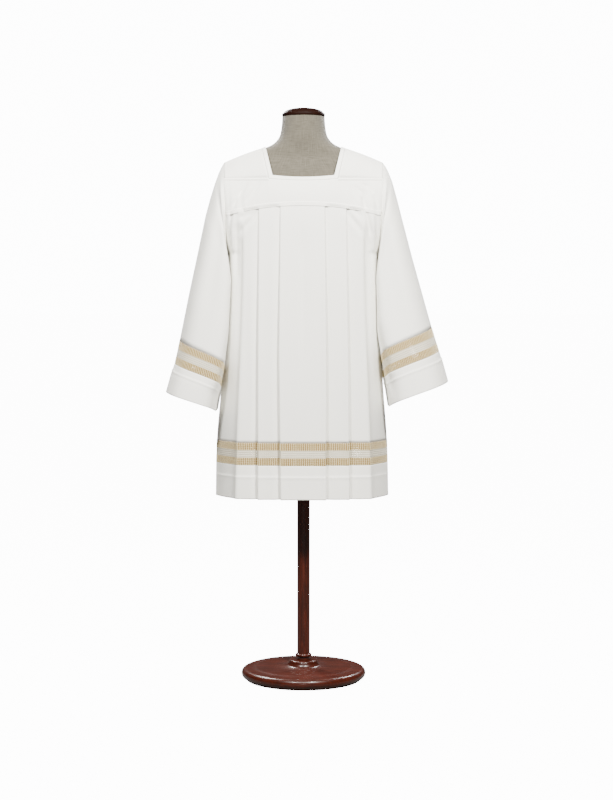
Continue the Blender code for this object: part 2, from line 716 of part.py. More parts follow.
def sleeve_ring(side, place):
    """Return one ring of a sleeve, where the place counts rings from the armhole."""
    rings = SLEEVE_RINGS[side]
    first = min(int(place), len(rings) - 2)
    share = place - first
    upper = rings[first]
    lower = rings[first + 1]
    outer_point = Vector((blend(upper.outer_x, lower.outer_x, share), 0.0,
                          blend(upper.outer_z, lower.outer_z, share)))
    inner_point = Vector((blend(upper.inner_x, lower.inner_x, share), 0.0,
                          blend(upper.inner_z, lower.inner_z, share)))
    half_depth = blend(upper.half_depth, lower.half_depth, share)
    power = 2.0 / blend(upper.squareness, lower.squareness, share)
    wrap = blend(upper.wrap, lower.wrap, share)
    centre = (outer_point + inner_point) / 2.0
    reach = (outer_point - inner_point) / 2.0
    points = []
    for step in range(RING_SIDES):
        angle = math.tau * step / RING_SIDES
        along = math.copysign(abs(math.cos(angle)) ** power, math.cos(angle))
        forward = math.copysign(abs(math.sin(angle)) ** power, math.sin(angle))
        offset = reach * along + Vector((0.0, -half_depth * forward, 0.0))
        offset *= 1.0 - sleeve_fold_depth(side, math.degrees(angle), place) / offset.length
        point = centre + offset
        point.x += ARMHOLE_GAP - wrap * (1.0 - along) / 2.0 * forward * forward
        points.append(Vector((side * point.x, point.y, point.z)))
    return points


def sleeve_fold_depth(side, degrees, place):
    """Return how far the sleeve's folds draw its wall inwards at one place."""
    depth = 0.0
    for fold in SLEEVE_FOLDS[side]:
        turn = (degrees - fold.angle + 180.0) % 360.0 - 180.0
        ending = smooth_share(place, fold.last_ring - FOLD_FADE_RINGS, fold.last_ring)
        strength = smooth_share(place, fold.first_ring, fold.first_ring + FOLD_FADE_RINGS)
        strength *= 1.0 - FOLD_END_LOSS * ending
        depth += fold.depth * strength * math.exp(-(turn / fold.spread) ** 2)
    return depth


def part_start(side, part):
    """Return the place of the ring where a part of the sleeve begins."""
    return next(place for place, ring in enumerate(SLEEVE_RINGS[side]) if ring.part == part)


def make_sleeve_pieces(side, materials, collection):
    """Build a sleeve, its openwork band and its doubled cuff."""
    label = SIDE_NAMES[side]
    band = part_start(side, "band")
    cuff = part_start(side, "cuff")
    end = part_start(side, "end")
    sleeve_places = list(range(band)) + [band - SLEEVE_PART_GAP]
    band_places = (band, cuff - SLEEVE_PART_GAP)
    cuff_places = (cuff, cuff + 1, end)
    pieces = (
        ("sleeve_" + label, sleeve_places, WALL, materials["cloth"]),
        ("sleeve_band_" + label, band_places, WALL, materials["openwork"]),
        ("cuff_" + label, cuff_places, DOUBLED_WALL, materials["cloth"]),
    )
    for name, places, thickness, material in pieces:
        rows = [sleeve_ring(side, place) for place in places]
        add_cloth(name, rows, thickness, material, collection, closed=True)


def main():
    """Build the dress form and every piece of the garment."""
    clear_scene()
    collection = bpy.data.collections.new(COLLECTION_NAME)
    bpy.context.scene.collection.children.link(collection)
    materials = {label: new_material(finish) for label, finish in FINISHES.items()}
    add_turned("form_base", BASE_PROFILE, materials["wood"], collection)
    add_turned("form_pole", POLE_PROFILE, materials["wood"], collection)
    make_plate(materials["wood"], collection)
    make_torso(materials["linen"], collection)
    add_turned("form_neck_cap", CAP_PROFILE, materials["wood"], collection)
    make_neck_strip(materials["cloth"], collection)
    for side in SIDE_NAMES:
        make_shoulder(side, materials["cloth"], collection)
        make_sleeve_pieces(side, materials, collection)
    for face in FACE_SIGN:
        make_yoke(face, materials["cloth"], collection)
        make_body(face, materials["cloth"], collection)
        make_body_strip("band_" + face, face, (BAND_TOP_Z, BAND_FOOT_Z + SEAM_GAP), WALL,
                        materials["openwork"], collection)
        make_body_strip("hem_" + face, face, (BAND_FOOT_Z, HEM_Z), DOUBLED_WALL,
                        materials["cloth"], collection)


main()
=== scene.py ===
"""Looks of a pleated surplice that hangs on a limbless dress form with a round wooden base.

Everything is in metres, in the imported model's frame: +Z up, the front faces -Y, and left and
right are as seen from the front. Each sub-assembly is a class that holds its own sizes.
"""

from __future__ import annotations

import logging
import math
from dataclasses import dataclass, field
from enum import Enum
from typing import Callable, ClassVar, NamedTuple, Sequence, TypeVar

import bmesh
import bpy
from mathutils import Matrix, Vector, noise


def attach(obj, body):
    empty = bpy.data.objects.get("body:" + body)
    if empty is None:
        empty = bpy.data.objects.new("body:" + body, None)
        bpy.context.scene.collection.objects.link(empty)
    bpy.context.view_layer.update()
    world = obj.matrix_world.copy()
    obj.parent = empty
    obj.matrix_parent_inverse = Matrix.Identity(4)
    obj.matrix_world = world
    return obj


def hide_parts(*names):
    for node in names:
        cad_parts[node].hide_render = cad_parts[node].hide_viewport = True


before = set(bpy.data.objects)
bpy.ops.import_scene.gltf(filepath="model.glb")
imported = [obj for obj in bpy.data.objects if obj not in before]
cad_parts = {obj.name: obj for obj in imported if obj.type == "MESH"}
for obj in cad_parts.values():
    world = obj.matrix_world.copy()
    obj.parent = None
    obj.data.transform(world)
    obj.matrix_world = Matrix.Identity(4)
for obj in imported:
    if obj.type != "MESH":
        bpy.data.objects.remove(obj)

LOG = logging.getLogger("surplice")
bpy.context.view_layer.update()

Item = bpy.types.Object
Mesh = bpy.types.Mesh
Tree = bpy.types.NodeTree
Node = bpy.types.Node
Socket = bpy.types.NodeSocket
Colour = tuple[float, float, float]
Row = list[Vector]
Rows = Sequence[Row]
Outward = Callable[[Vector], Vector]
Measure = TypeVar("Measure", float, Vector)
Fed = Socket | float | tuple[float, ...]

WALL = 0.0011
DOUBLED_WALL = 0.0015
CUFF_WALL = 0.0016
STRIP_WALL = 0.0009
WALL_STITCH_LIFT = 0.0007
DOUBLED_STITCH_LIFT = 0.00085
CUFF_STITCH_LIFT = 0.0009
STRIP_STITCH_LIFT = 0.0006
SEAM_GAP = 0.0003
YOKE_SEAM_GAP = 0.0006
SIDE_SEAM_GAP = 0.0009
ARMHOLE_GAP = 0.0016


class Labelled(Enum):
    """A choice whose name ends the names of pieces."""

    @property
    def label(self) -> str:
        """Return the word that ends a piece's name."""
        return self.name.lower()


class Face(Labelled):
    """The front or the back of the garment, with the way it faces along Y."""

    FRONT = -1.0
    BACK = 1.0


class Side(Labelled):
    """The left or the right as seen from the front, with its way along X."""

    LEFT = -1
    RIGHT = 1


class Level(NamedTuple):
    """A level of the form's torso: its height, half its width and half its depth."""

    z: float
    half_width: float
    half_depth: float


class BodyLevel(NamedTuple):
    """A level of the garment's body, from the armhole down to the hem."""

    z: float
    face_y: float
    crease_x: float
    crease_y: float
    left_x: float
    right_x: float


class Pleat(NamedTuple):
    """A knife pleat: where its folded edge lies at the yoke, half way down and at the hem."""

    top_x: float
    middle_x: float
    hem_x: float
    outward: int


class NeckEdge(NamedTuple):
    """One edge of the square neck opening, over the shoulder and across one face."""

    ridge_x: float
    ridge_z: float
    corner_x: float
    corner_y: float
    corner_z: float
    centre_drop: float


class Ring(NamedTuple):
    """One ring of a sleeve, given by its outer end and the end beside the body."""

    outer_x: float
    outer_z: float
    inner_x: float
    inner_z: float
    half_depth: float
    squareness: float
    wrap: float


class SleeveFold(NamedTuple):
    """A lengthwise fold of a sleeve, by its angle round the ring and the rings it reaches."""

    angle: float
    depth: float
    spread: float
    first_ring: float
    last_ring: float


class Crease(NamedTuple):
    """A soft trough in a face, between two points given by their place across and height."""

    start_x: float
    start_z: float
    end_x: float
    end_z: float
    depth: float
    width: float


def table(kind: type[NamedTuple], rows: Sequence[tuple[float, ...]]) -> tuple[NamedTuple, ...]:
    """Return rows of numbers as rows of a kind."""
    return tuple(kind(*row) for row in rows)


def blend(start: Measure, end: Measure, share: float) -> Measure:
    """Return the value a share of the way from start to end."""
    return start + (end - start) * share


def smooth_share(value: float, low: float, high: float) -> float:
    """Return 0 below low and 1 above high, with a soft ramp between them."""
    share = min(max((value - low) / (high - low), 0.0), 1.0)
    return share * share * (3.0 - 2.0 * share)


def row_at(rows: Sequence[NamedTuple], key: float, column: str) -> float:
    """Read one column of a table at a key, on a smooth curve through its rows.

    Args:
        rows: The table's rows, whose first column is the key.
        key: The place to read.
        column: The name of the column.

    Returns:
        The column's value there.
    """
    keys = [row[0] for row in rows]
    values = [getattr(row, column) for row in rows]
    if keys[0] > keys[-1]:
        keys.reverse()
        values.reverse()
    if key <= keys[0]:
        return values[0]
    if key >= keys[-1]:
        return values[-1]
    index = max(place for place in range(len(keys) - 1) if keys[place] <= key)
    span = keys[index + 1] - keys[index]
    share = (key - keys[index]) / span

    def slope(place: int) -> float:
        """Return the curve's slope at a row."""
        low, high = max(place - 1, 0), min(place + 1, len(keys) - 1)
        return (values[high] - values[low]) / (keys[high] - keys[low])

    cube, square = share**3, share**2
    return (
        (2 * cube - 3 * square + 1) * values[index]
        + (cube - 2 * square + share) * span * slope(index)
        + (3 * square - 2 * cube) * values[index + 1]
        + (cube - square) * span * slope(index + 1)
    )


def mirrored(point: Vector) -> Vector:
    """Return a point's mirror image across the centre plane."""
    return Vector((-point.x, point.y, point.z))


def steps_for(length: float, spacing: float) -> int:
    """Return how many steps of about that spacing fit a length."""
    return max(1, round(length / spacing))


def deselect() -> None:
    """Leave nothing selected, so that an operator acts on the next piece alone."""
    for item in bpy.context.selected_objects:
        item.select_set(False)


class NodeTools:
    """Short ways to add and link nodes in a material or a group."""

    def __init__(self, tree: Tree) -> None:
        """Keep the node tree that the nodes go in."""
        self.tree = tree

    def link(self, source: Socket, target: Socket) -> None:
        """Join an output to an input."""
        self.tree.links.new(source, target)

    def feed(self, socket: Socket, value: Fed) -> None:
        """Set a socket to a value, or link it where the value is an output."""
        if isinstance(value, Socket):
            self.link(value, socket)
        else:
            socket.default_value = value

    def wire(self, node: Node, inputs: dict[str, Fed]) -> None:
        """Set or link some of a node's inputs, by name."""
        for name, value in inputs.items():
            self.feed(node.inputs[name], value)

    def add(self, kind: str, inputs: dict[str, Fed] | None = None, **values: object) -> Node:
        """Add a node, set its plain properties, and set or link its inputs.

        Args:
            kind: The node's type.
            inputs: A value or an output for some of its inputs, by name.
            values: The properties to set, by name.

        Returns:
            The node.
        """
        node = self.tree.nodes.new(kind)
        for name, value in values.items():
            setattr(node, name, value)
        self.wire(node, inputs or {})
        return node

    def math(self, operation: str, *values: Fed) -> Socket:
        """Work out a sum with a math node.

        Args:
            operation: The node's operation.
            values: Up to three numbers or outputs.

        Returns:
            The node's output.
        """
        node = self.add("ShaderNodeMath", operation=operation)
        for place, value in enumerate(values):
            self.feed(node.inputs[place], value)
        return node.outputs[0]

    def mix_colour(self, share: Socket, first: Colour, second: Colour) -> Socket:
        """Mix two colours.

        Args:
            share: The output that says how much of the second colour there is.
            first: The first colour.
            second: The second colour.

        Returns:
            The mixed colour's output.
        """
        inputs = {"Factor": share, "A": (*first, 1.0), "B": (*second, 1.0)}
        return self.add("ShaderNodeMix", inputs, data_type="RGBA").outputs["Result"]

    def noise(self, vector: Socket, scale: Fed, detail: float = 2.0, roughness: float = 0.5,
              distortion: float = 0.0) -> Socket:
        """Read a noise texture.

        Args:
            vector: The output that holds the place.
            scale: The texture's scale.
            detail: The texture's detail.
            roughness: The texture's roughness.
            distortion: The texture's distortion.

        Returns:
            The texture's value.
        """
        inputs = {"Vector": vector, "Scale": scale, "Detail": detail, "Roughness": roughness,
                  "Distortion": distortion}
        return self.add("ShaderNodeTexNoise", inputs).outputs["Fac"]

    def stretched(self, vector: Socket, scale: Colour) -> Socket:
        """Return a place scaled along each axis."""
        return self.add("ShaderNodeMapping", {"Vector": vector, "Scale": scale}).outputs[0]


class ShaderGroups:
    """Shader node groups that several finishes share, each built once."""

    WEAVE = "plain_weave"
    MOTTLE = "soft_mottle"

    @staticmethod
    def _new(name: str, numbers: dict[str, float], outputs: Sequence[str]
             ) -> tuple[Tree, Node, Node, NodeTools]:
        """Make an empty group with a vector input, some number inputs and number outputs.

        Args:
            name: The group's name.
            numbers: The value of each number input, by name.
            outputs: The names of the outputs.

        Returns:
            The group, its input node, its output node and its tools.
        """
        group = bpy.data.node_groups.new(name, "ShaderNodeTree")
        group.interface.new_socket(name="Vector", in_out="INPUT", socket_type="NodeSocketVector")
        for label, value in numbers.items():
            socket = group.interface.new_socket(name=label, in_out="INPUT", socket_type="NodeSocketFloat")
            socket.default_value = value
        for label in outputs:
            group.interface.new_socket(name=label, in_out="OUTPUT", socket_type="NodeSocketFloat")
        tools = NodeTools(group)
        return group, tools.add("NodeGroupInput"), tools.add("NodeGroupOutput"), tools

    @classmethod
    def weave(cls) -> Tree:
        """Make the plain weave: threads over and under, with slubs that thicken some.

        Returns:
            The group, made on its first use.
        """
        if cls.WEAVE in bpy.data.node_groups:
            return bpy.data.node_groups[cls.WEAVE]
        numbers = {"Threads": 1500.0, "Slub": 0.3}
        group, entry, leave, tools = cls._new(cls.WEAVE, numbers, ("Height", "Slub mask"))
        parts = tools.add("ShaderNodeSeparateXYZ", {"Vector": entry.outputs["Vector"]})
        waves = []
        for axis in ("X", "Y"):
            turns = tools.math("MULTIPLY", parts.outputs[axis], entry.outputs["Threads"])
            waves.append(tools.math("SINE", tools.math("MULTIPLY", turns, math.pi)))
        height = tools.math("MULTIPLY_ADD", tools.math("MULTIPLY", *waves), 0.5, 0.5)
        slubs = tools.noise(tools.stretched(entry.outputs["Vector"], (1.0, 0.05, 1.0)), 900.0, 2.0, 0.6)
        mask = tools.math("MULTIPLY", tools.math("SUBTRACT", slubs, 0.5), entry.outputs["Slub"])
        tools.wire(leave, {"Height": tools.math("ADD", height, mask), "Slub mask": mask})
        return group

    @classmethod
    def mottle(cls) -> Tree:
        """Make a soft, wide variation between 0 and 1 for colour and roughness.

        Returns:
            The group, made on its first use.
        """
        if cls.MOTTLE in bpy.data.node_groups:
            return bpy.data.node_groups[cls.MOTTLE]
        group, entry, leave, tools = cls._new(cls.MOTTLE, {"Scale": 8.0}, ("Value",))
        cloud = tools.noise(entry.outputs["Vector"], entry.outputs["Scale"], 3.0)
        ramp = tools.add("ShaderNodeMapRange", {"Value": cloud, "From Min": 0.3, "From Max": 0.7},
                         interpolation_type="SMOOTHSTEP")
        tools.link(ramp.outputs["Result"], leave.inputs["Value"])
        return group


@dataclass(frozen=True)
class Finish:
    """What every finish has: its name, roughness and the material it makes once."""

    name: str
    roughness: float

    def material(self) -> bpy.types.Material:
        """Make the finish's material.

        Returns:
            The material, made on its first use.
        """
        if self.name in bpy.data.materials:
            return bpy.data.materials[self.name]
        material = bpy.data.materials.new(self.name)
        material.use_nodes = True
        shader = material.node_tree.nodes["Principled BSDF"]
        shader.inputs["Roughness"].default_value = self.roughness
        self.paint(NodeTools(material.node_tree), shader)
        return material

    def paint(self, tools: NodeTools, shader: Node) -> None:
        """Add the finish's own nodes. Each kind of finish gives its own.

        Args:
            tools: The material's node tools.
            shader: The Principled BSDF.
        """
        raise NotImplementedError

    @staticmethod
    def bump(tools: NodeTools, shader: Node, height: Socket, strength: float, distance: float) -> None:
        """Feed a height to the shader's normal.

        Args:
            tools: The material's node tools.
            shader: The Principled BSDF.
            height: The output that holds the height.
            strength: The bump's strength.
            distance: How far the full height stands out, in metres.
        """
        node = tools.add("ShaderNodeBump", {"Strength": strength, "Distance": distance, "Height": height})
        tools.link(node.outputs["Normal"], shader.inputs["Normal"])


@dataclass(frozen=True)
class ClothFinish(Finish):
    """Fine plain-woven cloth, matt with a faint sheen, seen by the metre on its own surface."""

    light: Colour = (0.90, 0.888, 0.832)
    shade: Colour = (0.85, 0.842, 0.792)
    threads: float = 2400.0
    slub: float = 0.35
    sheen: float = 0.18
    relief: float = 0.00008

    def paint(self, tools: NodeTools, shader: Node) -> None:
        """Weave the cloth from its UV map, in metres."""
        place = tools.add("ShaderNodeUVMap", uv_map="cloth").outputs[0]
        weave = tools.add("ShaderNodeGroup", node_tree=ShaderGroups.weave())
        tools.wire(weave, {"Vector": place, "Threads": self.threads, "Slub": self.slub})
        mottle = tools.add("ShaderNodeGroup", node_tree=ShaderGroups.mottle())
        tools.wire(mottle, {"Vector": place, "Scale": 14.0})
        share = tools.math("ADD", tools.math("MULTIPLY", mottle.outputs["Value"], 0.6),
                           tools.math("MULTIPLY", weave.outputs["Slub mask"], 0.5))
        tools.wire(shader, {
            "Base Color": tools.mix_colour(share, self.light, self.shade),
            "Roughness": tools.math("MULTIPLY_ADD", weave.outputs["Height"], 0.08, self.roughness),
            "Sheen Weight": self.sheen,
            "Sheen Roughness": 0.4,
            "Specular IOR Level": 0.25,
        })
        self.bump(tools, shader, weave.outputs["Height"], 0.5, self.relief)


@dataclass(frozen=True)
class ThreadFinish(Finish):
    """Twisted sewing or embroidery thread."""

    colour: Colour = (0.92, 0.91, 0.87)
    twist: float = 1800.0
    # how dark the painted shade in the twist's grooves is
    shaded: float = 0.86

    def paint(self, tools: NodeTools, shader: Node) -> None:
        """Twist fine plies along the thread, read from the object's own coordinates, with painted shade in
        the grooves between the plies.
        """
        place = tools.add("ShaderNodeTexCoord").outputs["Object"]
        wave = tools.add("ShaderNodeTexWave", {"Vector": place, "Scale": self.twist, "Distortion": 1.5},
                         bands_direction="DIAGONAL")
        # painted shade: the colour darkens where the twist's bump sinks, in the grooves between the plies
        dark = tuple(value * self.shaded for value in self.colour)
        tools.wire(shader, {"Base Color": tools.mix_colour(wave.outputs["Fac"], dark, self.colour),
                            "Sheen Weight": 0.25})
        self.bump(tools, shader, wave.outputs["Fac"], 0.4, 0.0001)


@dataclass(frozen=True)
class LinenFinish(Finish):
    """Coarse undyed linen with uneven threads, stretched over the form."""

    light: Colour = (0.112, 0.101, 0.078)
    dark: Colour = (0.057, 0.051, 0.038)
    threads: float = 900.0

    def paint(self, tools: NodeTools, shader: Node) -> None:
        """Weave coarse threads whose tones differ from thread to thread, with painted shade in the low points
        of the weave.
        """
        place = tools.add("ShaderNodeUVMap", uv_map="cloth").outputs[0]
        weave = tools.add("ShaderNodeGroup", node_tree=ShaderGroups.weave())
        tools.wire(weave, {"Vector": place, "Threads": self.threads, "Slub": 1.3})
        flecks = [tools.noise(tools.stretched(place, scale), 420.0, 3.0, 0.65)
                  for scale in ((1.0, 0.06, 1.0), (0.06, 1.0, 1.0))]
        fleck = tools.math("MULTIPLY_ADD", tools.math("SUBTRACT", tools.math("ADD", *flecks), 1.0), 1.7, 0.45)
        # painted shade: the weave's height darkens the colour where threads pass under; its slub part varies
        # the tone at random
        share = tools.math("ADD", fleck, tools.math("MULTIPLY", weave.outputs["Height"], 0.15))
        tools.wire(shader, {"Base Color": tools.mix_colour(share, self.dark, self.light),
                            "Sheen Weight": 0.2, "Specular IOR Level": 0.2})
        self.bump(tools, shader, weave.outputs["Height"], 0.8, 0.0003)


@dataclass(frozen=True)
class WoodFinish(Finish):
    """Dark polished hardwood with long grain streaks under a clear coat."""

    light: Colour = (0.072, 0.0100, 0.0030)
    dark: Colour = (0.017, 0.0030, 0.0013)
    stretch: Colour = (1.0, 9.0, 9.0)
    coat: float = 0.12
    gloss: float = 0.25

    def paint(self, tools: NodeTools, shader: Node) -> None:
        """Run the grain along one axis, with fine pores and a worn gloss."""
        place = tools.add("ShaderNodeTexCoord").outputs["Object"]
        grain = tools.stretched(place, self.stretch)
        drift = tools.noise(grain, 3.0, 2.0, 0.5)
        rings = tools.noise(grain, 14.0, 6.0, 0.5, 1.4)
        pores = tools.noise(grain, 160.0, 3.0, 0.7)
        share = tools.math("MULTIPLY_ADD", rings, 1.5, -0.25)
        share = tools.math("SUBTRACT", tools.math("MULTIPLY_ADD", drift, 0.5, share), 0.3)
        share = tools.math("SUBTRACT", share, tools.math("MULTIPLY", pores, 0.22))
        wear = tools.noise(place, 22.0, 4.0, 0.6)
        tools.wire(shader, {
            "Base Color": tools.mix_colour(share, self.dark, self.light),
            "Roughness": tools.math("MULTIPLY_ADD", wear, 0.16, self.roughness - 0.06),
            "Specular IOR Level": self.gloss,
            "Coat Weight": self.coat,
            "Coat Roughness": 0.12,
        })
        self.bump(tools, shader, pores, 0.25, 0.0003)


@dataclass(frozen=True)
class FloorFinish(Finish):
    """Plain pale studio floor with the faintest unevenness."""

    colour: Colour = (0.16, 0.16, 0.155)
    lift: float = 13.2

    def paint(self, tools: NodeTools, shader: Node) -> None:
        """Vary the pale floor a little, and lift it towards white where the camera sees it."""
        seen = tools.add("ShaderNodeLightPath").outputs["Is Camera Ray"]
        share = tools.noise(tools.add("ShaderNodeTexCoord").outputs["Object"], 3.0, 2.0)
        light = tuple(min(value * 1.02, 1.0) for value in self.colour)
        tools.wire(shader, {"Base Color": tools.mix_colour(share, self.colour, light),
                            "Emission Color": (1.0, 1.0, 1.0, 1.0),
                            "Emission Strength": tools.math("MULTIPLY", seen, self.lift)})


WHITE_CLOTH = ClothFinish("white_cloth", 0.74)
DOUBLED_CLOTH = ClothFinish("doubled_white_cloth", 0.74, light=(0.92, 0.908, 0.85), shade=(0.87, 0.862, 0.81))
GOLD_GROUND = ClothFinish("gold_openwork_ground", 0.62, light=(0.30, 0.195, 0.07), shade=(0.22, 0.135, 0.045),
                          slub=0.5, sheen=0.2)
CREAM_GROUND = ClothFinish("cream_openwork_ground", 0.70, light=(0.64, 0.60, 0.49),
                           shade=(0.585, 0.545, 0.44), slub=0.5)
WHITE_THREAD = ThreadFinish("white_sewing_thread", 0.55)
CREAM_THREAD = ThreadFinish("cream_openwork_thread", 0.60, colour=(0.60, 0.55, 0.42))
GOLD_THREAD = ThreadFinish("gold_openwork_thread", 0.45, colour=(0.30, 0.185, 0.05))
PALE_GOLD_THREAD = ThreadFinish("pale_gold_openwork_thread", 0.5, colour=(0.87, 0.745, 0.42))
LINEN = LinenFinish("linen_cover", 0.9)
BASE_WOOD = WoodFinish("polished_base_wood", 0.30)
CAP_WOOD = WoodFinish("polished_cap_wood", 0.5, light=(0.012, 0.0032, 0.0016), dark=(0.005, 0.0015, 0.0009),
                      coat=0.0, gloss=0.05)
POLE_WOOD = WoodFinish("polished_pole_wood", 0.32, stretch=(9.0, 9.0, 1.0))


def put_in_scene(name: str, mesh: Mesh, *finishes: Finish) -> Item:
    """Put a mesh in the scene.

    Args:
        name: The piece's name.
        mesh: The mesh.
        finishes: Its finishes, in the order of its faces' material numbers.

    Returns:
        The piece.
    """
    for finish in finishes:
        mesh.materials.append(finish.material())
    item = bpy.data.objects.new(name, mesh)
    bpy.context.scene.collection.objects.link(item)
    return item


def join_rows(rows: Rows, closed: bool, across: Sequence[float], down: Sequence[float]
              ) -> tuple[bmesh.types.BMesh, list[list[bmesh.types.BMFace]]]:
    """Join rows of points with four-sided faces.

    Args:
        rows: Rows of points, from the top to the foot.
        closed: Whether each row closes on itself, as on a tube.
        across: Each column's place in the UV map.
        down: Each row's place in the UV map.

    Returns:
        The mesh under construction, and its faces row by row.
    """
    builder = bmesh.new()
    layer = builder.loops.layers.uv.new("cloth")
    vertices = [[builder.verts.new(point) for point in row] for row in rows]
    count = len(rows[0])
    by_row = []
    for line, (upper, lower) in enumerate(zip(vertices, vertices[1:])):
        by_row.append([])
        for place in range(count if closed else count - 1):
            following = (place + 1) % count
            face = builder.faces.new((upper[place], lower[place], lower[following], upper[following]))
            spots = ((place, line), (place, line + 1), (place + 1, line + 1), (place + 1, line))
            for loop, (column, row) in zip(face.loops, spots):
                loop[layer].uv = (across[column], down[row])
            by_row[-1].append(face)
    return builder, by_row


def thicken(name: str, builder: bmesh.types.BMesh, thickness: float, *finishes: Finish) -> Item:
    """Make a smooth piece with a thickness from a mesh under construction.

    Args:
        name: The piece's name.
        builder: The mesh under construction, which is freed.
        thickness: The cloth's thickness.
        finishes: The piece's finishes.

    Returns:
        The piece.
    """
    for face in builder.faces:
        face.smooth = True
    mesh = bpy.data.meshes.new(name)
    builder.to_mesh(mesh)
    builder.free()
    item = put_in_scene(name, mesh, *finishes)
    solidify = item.modifiers.new("cloth thickness", "SOLIDIFY")
    solidify.thickness = thickness
    solidify.offset = 0.0
    return item


def make_cloth(name: str, rows: Rows, thickness: float, finish: Finish, closed: bool = False) -> Item:
    """Make a smooth sheet of cloth from rows of points.

    Args:
        name: The piece's name.
        rows: Rows of points, from the top to the foot.
        thickness: The cloth's thickness.
        finish: The cloth's finish.
        closed: Whether each row closes on itself, as on a tube.

    Returns:
        The piece, with a UV map in metres along and down the cloth.
    """
    count = len(rows[0])
    middle = rows[len(rows) // 2]
    across = [0.0]
    for place in range(count if closed else count - 1):
        across.append(across[-1] + (middle[(place + 1) % count] - middle[place]).length)
    down = [0.0]
    for upper, lower in zip(rows, rows[1:]):
        down.append(down[-1] - (lower[count // 4] - upper[count // 4]).length)
    builder, _ = join_rows(rows, closed, across, down)
    return thicken(name, builder, thickness, finish)


def make_raised(name: str, levels: Sequence[Level], sides: int, finish: Finish) -> Item:
    """Raise a turned or oval body from a disc, level by level, as with extrude and scale.

    Args:
        name: The piece's name.
        levels: The levels from the foot to the top.
        sides: How many sides the disc has.
        finish: The piece's finish.

    Returns:
        The closed piece, smooth and with a UV map in metres round and up it.
    """
    deselect()
    first = levels[0]
    bpy.ops.mesh.primitive_circle_add(vertices=sides, radius=1.0, fill_type="NGON",
                                      location=(0.0, 0.0, first.z))
    item = bpy.context.object
    item.name = name
    item.data.name = name
    bpy.ops.object.mode_set(mode="EDIT")
    bpy.ops.mesh.select_mode(type="FACE")
    bpy.ops.mesh.select_all(action="SELECT")
    bpy.ops.transform.resize(value=(first.half_width, first.half_depth, 1.0),
                             center_override=(0.0, 0.0, first.z))
    for lower, upper in zip(levels, levels[1:]):
        bpy.ops.mesh.extrude_region_move(TRANSFORM_OT_translate={"value": (0.0, 0.0, upper.z - lower.z)})
        bpy.ops.transform.resize(
            value=(upper.half_width / lower.half_width, upper.half_depth / lower.half_depth, 1.0),
            center_override=(0.0, 0.0, upper.z))
    bpy.ops.mesh.select_all(action="SELECT")
    bpy.ops.mesh.normals_make_consistent(inside=False)
    bpy.ops.object.mode_set(mode="OBJECT")
    bpy.ops.object.transform_apply(location=True, rotation=True, scale=True)
    bpy.ops.object.shade_smooth_by_angle(angle=math.radians(42.0))
    wrap_uv(item, levels)
    item.data.materials.append(finish.material())
    return item


def wrap_uv(item: Item, levels: Sequence[Level]) -> None:
    """Give a raised piece a UV map in metres, round it and up it.

    Args:
        item: The piece.
        levels: The levels that it was raised through.
    """
    mesh = item.data
    layer = mesh.uv_layers.new(name="cloth")
    mean = sum(level.half_width + level.half_depth for level in levels) / (2.0 * len(levels))
    for polygon in mesh.polygons:
        spots = [mesh.vertices[index].co for index in polygon.vertices]
        turns = [math.atan2(spot.y, spot.x) for spot in spots]
        wraps = max(turns) - min(turns) > math.pi
        for index, spot, turn in zip(polygon.loop_indices, spots, turns):
            if wraps and turn < 0.0:
                turn += math.tau
            layer.data[index].uv = (turn * mean, spot.z)


def take_mesh(scale: tuple[float, float, float]) -> Mesh:
    """Take the mesh of the primitive just added, turned as it lies and then scaled.

    Args:
        scale: The scale along each axis.

    Returns:
        The mesh, without its object.
    """
    item = bpy.context.object
    bpy.ops.object.transform_apply(location=True, rotation=True, scale=True)
    item.scale = scale
    bpy.ops.object.transform_apply(location=True, rotation=True, scale=True)
    mesh = item.data
    bpy.data.objects.remove(item)
    return mesh


def join_copies(name: str, template: Mesh, places: Sequence[Matrix], finish: Finish) -> Item:
    """Join a copy of a small mesh at each place into one piece.

    Args:
        name: The piece's name.
        template: The small mesh.
        places: Where each copy goes.
        finish: The piece's finish.

    Returns:
        The joined piece.
    """
    spots = [vertex.co.copy() for vertex in template.vertices]
    shapes = [tuple(polygon.vertices) for polygon in template.polygons]
    points: list[Vector] = []
    faces: list[tuple[int, ...]] = []
    for place in places:
        start = len(points)
        points += [place @ spot for spot in spots]
        faces += [tuple(start + index for index in shape) for shape in shapes]
    mesh = bpy.data.meshes.new(name)
    mesh.from_pydata(points, [], faces)
    mesh.shade_smooth()
    return put_in_scene(name, mesh, finish)


